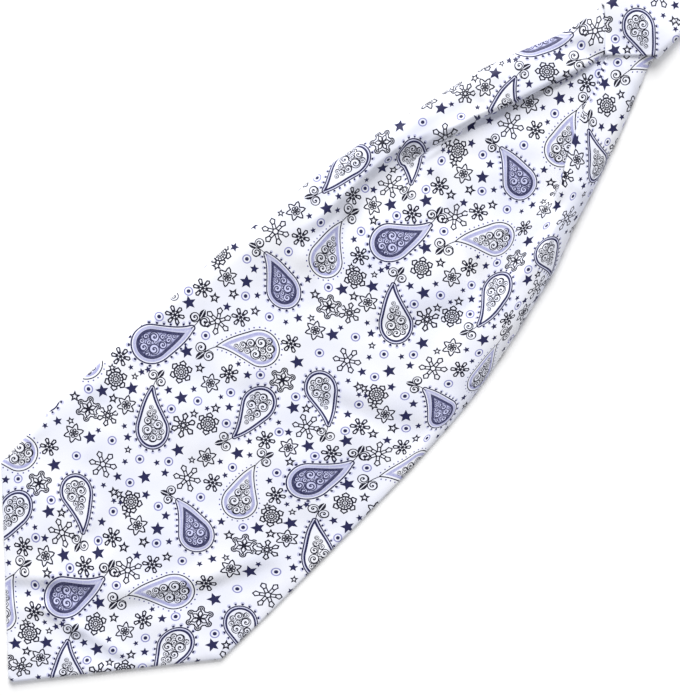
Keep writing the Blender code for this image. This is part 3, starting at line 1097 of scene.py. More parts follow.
class Field:
    """A shader's value or vector, on which Python's operators add Math nodes."""

    def __init__(self, graph: "Graph", socket: bpy.types.NodeSocket) -> None:
        """Keeps the socket that gives the value."""
        self.graph = graph
        self.socket = socket

    def __add__(self, other: Term) -> "Field":
        """Adds."""
        return self.graph.math("ADD", self, other)

    __radd__ = __add__

    def __sub__(self, other: Term) -> "Field":
        """Takes other away."""
        return self.graph.math("SUBTRACT", self, other)

    def __rsub__(self, other: Term) -> "Field":
        """Is taken away from other."""
        return self.graph.math("SUBTRACT", other, self)

    def __mul__(self, other: Term) -> "Field":
        """Multiplies, which joins two masks."""
        return self.graph.math("MULTIPLY", self, other)

    __rmul__ = __mul__

    def __truediv__(self, other: Term) -> "Field":
        """Divides."""
        return self.graph.math("DIVIDE", self, other)

    def __neg__(self) -> "Field":
        """Changes the sign."""
        return self.graph.math("MULTIPLY", self, -1.0)

    def __abs__(self) -> "Field":
        """Drops the sign."""
        return self.graph.math("ABSOLUTE", self)

    def __lt__(self, other: Term) -> "Field":
        """Gives 1 where it is less."""
        return self.graph.math("LESS_THAN", self, other)

    def __gt__(self, other: Term) -> "Field":
        """Gives 1 where it is greater."""
        return self.graph.math("GREATER_THAN", self, other)

    def __or__(self, other: Term) -> "Field":
        """Gives the greater, which adds up two masks."""
        return self.graph.math("MAXIMUM", self, other)

    def least(self, other: Term) -> "Field":
        """Gives the lesser."""
        return self.graph.math("MINIMUM", self, other)

    def near(self, value: Term, reach: float) -> "Field":
        """Gives 1 within reach of the value."""
        return self.graph.math("COMPARE", self, value, reach)

    def fraction(self) -> "Field":
        """Gives what is past the last whole number."""
        return self.graph.math("FRACT", self)

    def limited(self) -> "Field":
        """Keeps it from 0 to 1."""
        return self.graph.node("ShaderNodeClamp", {}, {0: self, 1: 0.0, 2: 1.0})

    def split(self) -> tuple["Field", "Field", "Field"]:
        """Gives a vector's three values."""
        outputs = self.graph.add("ShaderNodeSeparateXYZ", {}, {0: self}).outputs
        return Field(self.graph, outputs[0]), Field(self.graph, outputs[1]), Field(self.graph, outputs[2])

    def is_motif(self, motif: Motif) -> "Field":
        """Gives 1 where a face's code is the motif's."""
        return self.near(motif.value, CODE_REACH)


class Graph:
    """A material's nodes."""

    def __init__(self, name: str) -> None:
        """Starts a material with its Principled shader.

        Args:
            name: the material's name.
        """
        self.material = bpy.data.materials.new(name)
        self.material.use_nodes = True
        self.tree = self.material.node_tree
        self.shader = self.tree.nodes["Principled BSDF"]

    def add(
        self,
        kind: str,
        settings: dict[str, object],
        inputs: "dict[int | str, Field | float | Sequence[float]]",
    ) -> bpy.types.Node:
        """Adds a node.

        Args:
            kind: the node's type.
            settings: its own settings, which are set first.
            inputs: the value or link of each socket, by number or name.

        Returns:
            The node.
        """
        node = self.tree.nodes.new(kind)
        for key, value in settings.items():
            setattr(node, key, value)
        for key, value in inputs.items():
            self.fill(node.inputs[key], value)
        return node

    def fill(self, socket: bpy.types.NodeSocket, value: "Field | float | Sequence[float]") -> None:
        """Links a socket to a field, or sets its value, where a colour's alpha is 1."""
        if isinstance(value, Field):
            self.tree.links.new(value.socket, socket)
        elif socket.type == "RGBA":
            socket.default_value = (*value, 1.0)
        else:
            socket.default_value = value

    def node(
        self,
        kind: str,
        settings: dict[str, object],
        inputs: "dict[int | str, Field | float | Sequence[float]]",
        output: int | str = 0,
    ) -> Field:
        """Adds a node and returns one of its outputs."""
        return Field(self, self.add(kind, settings, inputs).outputs[output])

    def math(self, operation: str, *values: Term) -> Field:
        """Adds a Math node."""
        return self.node("ShaderNodeMath", {"operation": operation}, dict(enumerate(values)))

    def vector(self, operation: str, *values: "Field | Sequence[float]", output: int = 0) -> Field:
        """Adds a Vector Math node."""
        return self.node("ShaderNodeVectorMath", {"operation": operation}, dict(enumerate(values)), output)

    def choose(self, mask: Field, otherwise: Field, chosen: Field) -> Field:
        """Returns one vector where the mask is 1, and the other elsewhere."""
        inputs = {0: mask, 4: otherwise, 5: chosen}
        return self.node("ShaderNodeMix", {"data_type": "VECTOR"}, inputs, 1)

    def paint(self, mask: Term, under: "Field | Sequence[float]", over: "Field | Sequence[float]") -> Field:
        """Lays a colour over another where the mask is 1."""
        return self.node("ShaderNodeMix", {"data_type": "RGBA"}, {0: mask, 6: under, 7: over}, 2)

    def attribute(self, name: str) -> Field:
        """Reads one of the mesh's own attributes as a vector."""
        return self.node("ShaderNodeAttribute", {"attribute_name": name}, {}, "Vector")

    def shade(self, **values: "Field | float | Sequence[float]") -> None:
        """Sets the shader's sockets.

        Args:
            values: each socket's name, with _ for a space, and its value or link.
        """
        for key, value in values.items():
            self.fill(self.shader.inputs[key.replace("_", " ")], value)


def slant(run: tuple[float, float], point: tuple[float, float], out: Field, aside: Field) -> Field:
    """Returns the signed distance to a straight line through a point, growing on the right of its run.

    Args:
        run: the line's direction.
        point: a point on it.
        out: the place outwards.
        aside: the place aside.
    """
    length = math.hypot(*run)
    normal = (run[1] / length, -run[0] / length)
    return out * normal[0] + aside * normal[1] - (normal[0] * point[0] + normal[1] * point[1])


class Wedge:
    """Polar coordinates folded into equal wedges about the upward axis."""

    def __init__(self, graph: Graph, aside: Field, up: Field) -> None:
        """Works out the distance and the turn about the centre."""
        self.graph = graph
        self.reach = graph.math("SQRT", aside * aside + up * up)
        self.turn = graph.math("ARCTAN2", aside, up) * (0.5 / math.pi)

    def fold(self, count: int) -> tuple[Field, Field]:
        """Returns the place (outwards, aside) in one of count wedges, with aside never below 0."""
        angle = ((self.turn * count + 0.5).fraction() - 0.5) * (2.0 * math.pi / count)
        aside = abs(self.reach * self.graph.math("SINE", angle))
        return self.reach * self.graph.math("COSINE", angle), aside


class Spearhead(NamedTuple):
    """A straight-sided head on a wedge's middle line: its base, shoulders and tip, with half widths."""

    base: float
    base_width: float
    shoulder: float
    shoulder_width: float
    tip: float

    def outside(self, out: Field, aside: Field) -> Field:
        """Returns the distance outside it, which is below zero inside."""
        flank = (self.base - self.shoulder, self.base_width - self.shoulder_width)
        roof = (self.shoulder - self.tip, self.shoulder_width)
        sides = slant(flank, (self.base, self.base_width), out, aside)
        return sides | slant(roof, (self.tip, 0.0), out, aside) | (self.base - out)


def ring(graph: Graph, out: Field, aside: Field, centre: float, radius: float) -> Field:
    """Returns the distance outside a circle that is centred on the wedge's middle line."""
    away = out - centre
    return graph.math("SQRT", away * away + aside * aside) - radius


@dataclass(frozen=True)
class PrintedSilk:
    """The finish of the printed silk: its ground, its inks, its sheen and its fine weave."""

    name: str = "printed_silk"
    ground: Colour = (0.905, 0.915, 0.965)
    ground_cool: Colour = (0.80, 0.825, 0.955)
    cloud_scale: float = 0.03
    cloud_contrast: float = 2.6
    cloud_floor: float = 0.8
    navy: Colour = (0.015, 0.016, 0.078)
    deep: Colour = (0.005, 0.005, 0.020)
    violet: Colour = (0.11, 0.11, 0.32)
    lavender: Colour = (0.35, 0.36, 0.64)
    mist: Colour = (0.54, 0.56, 0.83)
    pearl: Colour = (0.64, 0.66, 0.92)
    roughness: float = 0.46
    sheen: float = 0.05
    sheen_tint: Colour = (0.80, 0.84, 1.0)
    thread_pitch: float = 0.30
    slub_scale: float = 0.55
    bend: float = 1.1
    lined_narrowing: float = 0.19
    filled_narrowing: float = 0.08
    fringe_pitch: float = 3.15
    dot_pitch: float = 2.3
    curl_turns: float = 1.6
    curl_line: float = 0.22
    curl_share: float = 0.17
    scale_share: float = 0.001

    def material(self) -> bpy.types.Material:
        """Builds the material."""
        graph = Graph(self.name)
        weave = graph.attribute("weave")
        coarse = {"Vector": weave, "Scale": self.cloud_scale, "Detail": 2.0}
        clouds = graph.node("ShaderNodeTexNoise", {}, coarse)
        cool = (clouds * self.cloud_contrast - self.cloud_floor).limited()
        colour = graph.paint(cool, self.ground, self.ground_cool)
        colour = self.paint_paisleys(graph, colour)
        colour = self.paint_flowers(graph, colour)
        colour = self.paint_stars(graph, colour)
        colour = self.paint_dots(graph, colour)
        along, across, _ = weave.split()
        turns = 2.0 * math.pi / self.thread_pitch
        threads = graph.math("SINE", (along + across * 0.5) * turns) * graph.math("SINE", across * turns)
        fine = {"Vector": weave, "Scale": self.slub_scale, "Detail": 3.0}
        slubs = graph.node("ShaderNodeTexNoise", {}, fine)
        relief = threads * 0.25 + slubs
        bump = graph.node("ShaderNodeBump", {}, {"Strength": 0.12, "Distance": 0.0002, "Height": relief})
        graph.shade(
            Base_Color=colour,
            Roughness=slubs * 0.08 + (self.roughness - 0.04),
            Sheen_Weight=self.sheen,
            Sheen_Roughness=0.4,
            Sheen_Tint=self.sheen_tint,
            Specular_IOR_Level=0.3,
            Normal=bump,
        )
        return graph.material

    def paint_paisleys(self, graph: Graph, colour: Field) -> Field:
        """Paints the three kinds of paisley, with their fringes, curls and sprigs.

        Args:
            graph: the material's nodes.
            colour: what lies under them.

        Returns:
            The painted colour.
        """
        place = graph.attribute("paisleys")
        aside, up, kind = place.split()
        lined = kind.is_motif(Motif.PAISLEY_LINED)
        filled = kind.is_motif(Motif.PAISLEY_FILLED)
        pale = kind.is_motif(Motif.PAISLEY_PALE)
        narrowing = lined * self.lined_narrowing + filled * self.filled_narrowing + 1.0
        edge, way = self.drop_edge(graph, aside * narrowing, up)
        in_sprig = up > PAISLEY_TIP + 1.0
        stipple = graph.node("ShaderNodeTexNoise", {}, {"Vector": place, "Scale": 2.2, "Detail": 1.0})
        grain = (stipple * 2.0 - 0.45).limited()

        tipward = (up / PAISLEY_TIP).limited()
        inner = edge + 0.9 + tipward * tipward * 1.1
        colour = graph.paint(edge.near(-0.75, 1.3) * filled * (0.3 + grain * 0.4), colour, self.lavender)
        colour = graph.paint(edge.near(0.0, 0.55) * filled * (0.3 + grain * 0.3), colour, self.lavender)
        colour = graph.paint(edge.near(0.3, 0.6) * lined * 0.7, colour, self.mist)
        colour = graph.paint(edge.near(-1.75, 0.65) * pale * (0.65 + grain * 0.35), colour, self.lavender)
        colour = graph.paint(edge.near(-2.6, 0.16) * pale * 0.6, colour, self.lavender)
        arms, discs = self.curls(graph, place, filled * 0.25 + 1.2)
        core = (inner < 0.0) * filled
        rim = 2.0 - abs(inner + 0.65) * 1.5
        bubbles = graph.node("ShaderNodeTexVoronoi", {}, {"Vector": place, "Scale": 0.62}) < 0.42
        colour = graph.paint(core * (0.95 - grain * 0.2), colour, self.lavender)
        colour = graph.paint(core * (discs * 0.95 | bubbles * 0.7), colour, self.pearl)
        colour = graph.paint(core * rim.limited() * (1.0 - grain * 0.15), colour, self.navy)
        arms = arms * ((edge < -1.2) | in_sprig)
        colour = graph.paint(arms * core * 0.95, colour, self.navy)
        dark_arms = arms * (1.0 - core) * (kind > 0.5)

        colour = graph.paint(edge.near(-0.05, 0.55) * lined, colour, self.navy)
        fringed = (lined | filled) * (1.0 - in_sprig)
        halos = self.beads(graph, edge - 3.1, way, self.fringe_pitch, 0.85) * fringed
        colour = graph.paint(halos * 0.55, colour, self.lavender)
        colour = graph.paint(edge.near(1.4, 0.36) * (lined | filled), colour, self.navy)
        beads = self.beads(graph, edge - 2.45, way, self.fringe_pitch, 0.6) * fringed
        dots = self.beads(graph, edge - 1.2, way, self.dot_pitch, 0.36) * pale
        hairline = edge.near(0.0, 0.27) * pale
        colour = graph.paint(beads, colour, self.navy)
        colour = graph.paint(dots * (1.0 - in_sprig), colour, self.violet)
        stem = self.stem(aside, up) | self.leaf(aside, up)
        ink = hairline * (1.0 - in_sprig) | stem * (kind > 0.5) | dark_arms
        return graph.paint(ink, colour, self.deep)

    def beads(self, graph: Graph, away: Field, way: Field, pitch: float, radius: float) -> Field:
        """Returns the mask of round beads strung along a line.

        Args:
            graph: the material's nodes.
            away: the distance from the line.
            way: the distance along it.
            pitch: from bead to bead.
            radius: a bead's radius.
        """
        along = ((way / pitch).fraction() - 0.5) * pitch
        return graph.math("SQRT", along * along + away * away) < radius

    def drop_edge(self, graph: Graph, aside: Field, up: Field) -> tuple[Field, Field]:
        """Returns the distance outside the drop's outline and the way along it.

        Args:
            graph: the material's nodes.
            aside: the place aside, in the paisley's own millimetres.
            up: the place towards its tip.
        """
        sine = PAISLEY_RADIUS / PAISLEY_TIP
        cosine = math.sqrt(1.0 - sine * sine)
        share = (up / PAISLEY_TIP).limited()
        aside = abs(aside + share * share * (1.0 - share) * (6.75 * self.bend))
        past = up * cosine - aside * sine
        flank = aside * cosine + up * sine - PAISLEY_RADIUS
        reach = graph.math("SQRT", aside * aside + up * up)
        rounded = past < 0.0
        beyond = past > PAISLEY_TIP * cosine
        above = up - PAISLEY_TIP
        tip = graph.math("SQRT", aside * aside + above * above)
        edge = flank + rounded * (reach - PAISLEY_RADIUS - flank)
        edge = edge + beyond * (tip - edge)
        angle = graph.math("ARCTAN2", -past, flank + PAISLEY_RADIUS)
        way = past - rounded * (angle * PAISLEY_RADIUS + past)
        return edge, way

    def curls(self, graph: Graph, place: Field, weight: Field) -> tuple[Field, Field]:
        """Returns the masks of the curls' arms and of their whole discs.

        Each curl's own place carries a small share of its scale as its third value.

        Args:
            graph: the material's nodes.
            place: the place in the paisley's own millimetres.
            weight: how many times the usual width the arms are.
        """
        nearest, own = None, None
        for curl in CURLS:
            scale = (curl.hand / curl.radius, 1.0 / curl.radius, 0.0)
            offset = (-curl.aside * scale[0], -curl.up * scale[1], self.scale_share / curl.radius)
            local = graph.vector("MULTIPLY_ADD", place, scale, offset)
            reach = graph.vector("LENGTH", local, output=1)
            if nearest is None:
                nearest, own = reach, local
                continue
            own = graph.choose(reach < nearest, own, local)
            nearest = nearest.least(reach)
        aside, up, scale = own.split()
        turn = graph.math("ARCTAN2", up, aside) * (0.5 / math.pi)
        line = scale * (self.curl_line * self.curl_turns / self.scale_share)
        line = line.least(self.curl_share) * weight
        arm = abs((nearest * self.curl_turns - turn).fraction() - 0.5) < line
        rim = abs(nearest - 0.94) < line * (0.8 / self.curl_turns)
        inside = nearest < 1.04
        return (arm | (nearest < 0.17) | rim) * inside, inside

    def stem(self, aside: Field, up: Field) -> Field:
        """Returns the mask of the stem from the paisley's tip to its sprig."""
        start = (0.0, PAISLEY_TIP - 0.6)
        run = (STEM_END[0] - start[0], STEM_END[1] - start[1])
        length = math.hypot(*run)
        right = (run[0] / length, run[1] / length)
        along = (aside - start[0]) * right[0] + (up - start[1]) * right[1]
        away = (aside - start[0]) * right[1] - (up - start[1]) * right[0]
        bowed = away + along * (length - along) * 0.03
        return bowed.near(0.0, 0.2) * (along > 0.0) * (along < length)

    def leaf(self, aside: Field, up: Field) -> Field:
        """Returns the mask of the two-lobed leaf at the end of the sprig."""
        angle = math.radians(LEAF_TURN)
        x, y = aside - LEAF_CENTRE[0], up - LEAF_CENTRE[1]
        along = x * math.sin(angle) + y * math.cos(angle)
        away = abs(x * math.cos(angle) - y * math.sin(angle))
        return (away + along * along * 0.21 < 1.45) * (away > 0.2)

    def paint_flowers(self, graph: Graph, colour: Field) -> Field:
        """Paints the snowflakes, rosettes and small flowers, as lines.

        Args:
            graph: the material's nodes.
            colour: what lies under them.

        Returns:
            The painted colour.
        """
        aside, up, kind = graph.attribute("flowers").split()
        wedge = Wedge(graph, aside, up)
        reach = wedge.reach
        out, side = wedge.fold(6)
        out_fine, side_fine = wedge.fold(12)

        head = Spearhead(0.54, 0.10, 0.82, 0.20, 1.0).outside(out, side)
        stalk = (side - 0.105) | (out - 0.54) | (0.19 - out)
        snowflake = head.near(-0.01, 0.045) | stalk.near(0.0, 0.041) | reach.near(0.19, 0.045)

        head = Spearhead(0.62, 0.22, 0.80, 0.28, 1.02).outside(out, side)
        spokes = side_fine.near(0.0, 0.045) * reach.near(0.41, 0.18)
        rims = reach.near(0.61, 0.062) | reach.near(0.40, 0.04) | reach.near(0.20, 0.05) | (reach < 0.08)
        rosette = head.near(-0.01, 0.062) | spokes | rims

        star = Spearhead(0.0, 0.45, 0.83, 0.165, 1.0).outside(out, side)
        cells = ring(graph, out, side, 0.31, 0.125).near(0.0, 0.055)
        star_flower = star.near(-0.02, 0.066) | cells | (reach < 0.13)

        petal = Spearhead(0.33, 0.14, 0.89, 0.20, 1.02).outside(out, side)
        petal_flower = petal.near(-0.03, 0.072) | side.near(0.0, 0.06) * (out < 0.56) | (reach < 0.17)

        kite = Spearhead(0.46, 0.08, 0.82, 0.22, 1.02).outside(out, side)
        frost_flower = kite.near(-0.01, 0.062) | ring(graph, out, side, 0.35, 0.12).near(0.0, 0.055)
        frost_flower = frost_flower | reach.near(0.16, 0.05)

        body = Spearhead(0.0, 0.60, 0.60, 0.26, 0.90).outside(out, side)
        lobe = ring(graph, out, side, 0.77, 0.21).least(body)
        spike = Spearhead(0.14, 0.06, 0.40, 0.16, 0.62).outside(out, side)
        wheel = lobe.near(0.0, 0.05) | ring(graph, out, side, 0.77, 0.085).near(0.0, 0.045)
        wheel = wheel | spike.near(0.0, 0.045) | (reach < 0.13)

        ink = (
            snowflake * kind.is_motif(Motif.SNOWFLAKE)
            | rosette * kind.is_motif(Motif.ROSETTE)
            | star_flower * kind.is_motif(Motif.STAR_FLOWER)
            | petal_flower * kind.is_motif(Motif.PETAL_FLOWER)
            | frost_flower * kind.is_motif(Motif.FROST_FLOWER)
            | wheel * kind.is_motif(Motif.WHEEL_FLOWER)
        )
        return graph.paint(ink * (reach < 1.08), colour, self.deep)

    def paint_stars(self, graph: Graph, colour: Field) -> Field:
        """Paints the filled and the outlined stars."""
        aside, up, kind = graph.attribute("stars").split()
        out, side = Wedge(graph, aside, up).fold(5)
        star = slant((-0.662, 0.282), (1.08, 0.0), out, side)
        filled = (star < 0.02) * kind.is_motif(Motif.STAR_FILLED)
        lined = star.near(-0.08, 0.15) * kind.is_motif(Motif.STAR_LINED)
        return graph.paint(lined, graph.paint(filled, colour, self.navy), self.deep)

    def paint_dots(self, graph: Graph, colour: Field) -> Field:
        """Paints the navy dots in their lavender rings."""
        aside, up, kind = graph.attribute("dots").split()
        reach = graph.math("SQRT", aside * aside + up * up)
        shown = kind > 0.5
        colour = graph.paint(reach.near(0.87, 0.14) * shown, colour, self.lavender)
        colour = graph.paint(reach.near(0.87, 0.07) * shown * 0.45, colour, self.violet)
        return graph.paint((reach < 0.42) * shown, colour, self.navy)


@dataclass(frozen=True)
class SewingThread:
    """The finish of the seams' thread."""

    name: str = "sewing_thread"
    colour: Colour = (0.80, 0.81, 0.93)
    roughness: float = 0.6
    twist_pitch: float = 0.35 * MM

    def material(self) -> bpy.types.Material:
        """Builds the material, with the thread's twist as fine slanted waves."""
        graph = Graph(self.name)
        place = graph.node("ShaderNodeTexCoord", {}, {}, "Object")
        x, y, z = place.split()
        turns = 2.0 * math.pi / self.twist_pitch
        twist = graph.math("SINE", (x + y + z) * turns)
        bump = graph.node("ShaderNodeBump", {}, {"Strength": 0.3, "Distance": 0.0001, "Height": twist})
        shade = graph.paint(twist * 0.1 + 0.1, self.colour, tuple(0.8 * part for part in self.colour))
        graph.shade(Base_Color=shade, Roughness=self.roughness, Normal=bump)
        return graph.material


@dataclass
class SlipStitches:
    """Short stitches that close a seam between two layers on the underside.

    Attributes:
        name: the piece's name.
        seams: each seam's points across it, as pairs of (place, direction across the seam).
    """

    name: str
    seams: list[tuple[np.ndarray, np.ndarray]]
    pitch: float = 6.0 * MM
    length: float = 1.9 * MM
    width: float = 0.34 * MM
    thickness: float = 0.26 * MM
    lean: float = 25.0

    def build(self, material: bpy.types.Material) -> bpy.types.Object:
        """Makes all stitches of the seams as one piece.

        Args:
            material: the thread's material.

        Returns:
            The piece.
        """
        threads = bmesh.new()
        for points, across in self.seams:
            steps = np.linalg.norm(np.diff(points, axis=0), axis=1)
            way = np.concatenate(((0.0,), np.cumsum(steps)))
            count = int(way[-1] / self.pitch)
            for place in (np.arange(count) + 0.5) * self.pitch:
                centre = [float(np.interp(place, way, points[:, i])) for i in range(3)]
                angle = math.atan2(across[1], across[0]) + math.radians(self.lean)
                shape = Matrix.Diagonal((self.length / 2.0, self.width / 2.0, self.thickness / 2.0, 1.0))
                matrix = Matrix.Translation(centre) @ Matrix.Rotation(angle, 4, "Z") @ shape
                bmesh.ops.create_uvsphere(threads, u_segments=8, v_segments=4, radius=1.0, matrix=matrix)
        for face in threads.faces:
            face.smooth = True
        mesh = bpy.data.meshes.new(self.name)
        threads.to_mesh(mesh)
        threads.free()
        mesh.materials.append(material)
        piece = bpy.data.objects.new(self.name, mesh)
        bpy.context.collection.objects.link(piece)
        return piece


@dataclass
class Studio:
    """The pale floor, the soft light and the camera above the cravat's one end."""

    floor_size: float = 4.0
    floor_colour: Colour = (0.99, 0.99, 0.99)
    world_colour: Colour = (0.985, 0.99, 1.01)
    world_strength: float = 0.50
    key_colour: Colour = (1.0, 0.995, 0.985)
    key_place: tuple[float, float, float] = (3.05, 3.85, 3.6)
    key_target: tuple[float, float, float] = (-0.37, 0.0, 0.0)
    key_size: float = 4.2
    key_power: float = 475.0
    camera_place: tuple[float, float, float] = (-0.3705, -0.0059, 1.6)
    camera_turn: float = -45.0
    view_height: float = 0.3515
    sensor_height: float = 24.0

    def build(self) -> None:
        """Makes the floor, the world, the light and the camera."""
        self.build_floor()
        self.build_light()
        self.build_camera()

    def build_floor(self) -> None:
        """Makes the floor that the cravat lies on."""
        grid = bmesh.new()
        bmesh.ops.create_grid(grid, x_segments=1, y_segments=1, size=self.floor_size / 2.0)
        mesh = bpy.data.meshes.new("floor")
        grid.to_mesh(mesh)
        grid.free()
        floor = bpy.data.objects.new("floor", mesh)
        bpy.context.collection.objects.link(floor)
        graph = Graph("floor")
        graph.shade(Base_Color=self.floor_colour, Roughness=0.9, Specular_IOR_Level=0.0)
        mesh.materials.append(graph.material)

    def build_light(self) -> None:
        """Makes the even world light and the large soft light on the left."""
        world = bpy.data.worlds.new("studio")
        world.use_nodes = True
        background = world.node_tree.nodes["Background"]
        background.inputs["Color"].default_value = (*self.world_colour, 1.0)
        background.inputs["Strength"].default_value = self.world_strength
        bpy.context.scene.world = world
        light = bpy.data.lights.new("key", "AREA")
        light.shape = "SQUARE"
        light.size = self.key_size
        light.energy = self.key_power
        light.color = self.key_colour
        key = bpy.data.objects.new("key", light)
        key.location = self.key_place
        key.rotation_euler = (Vector(self.key_target) - key.location).to_track_quat("-Z", "Y").to_euler()
        bpy.context.collection.objects.link(key)

    def build_camera(self) -> None:
        """Makes the camera, which looks straight down with a long lens."""
        data = bpy.data.cameras.new("camera")
        data.sensor_fit = "VERTICAL"
        data.sensor_height = self.sensor_height
        data.lens = self.sensor_height * self.camera_place[2] / self.view_height
        camera = bpy.data.objects.new("camera", data)
        camera.location = self.camera_place
        camera.rotation_euler = (0.0, 0.0, math.radians(self.camera_turn))
        bpy.context.collection.objects.link(camera)
        bpy.context.scene.camera = camera
        bpy.context.scene.view_settings.view_transform = "Standard"


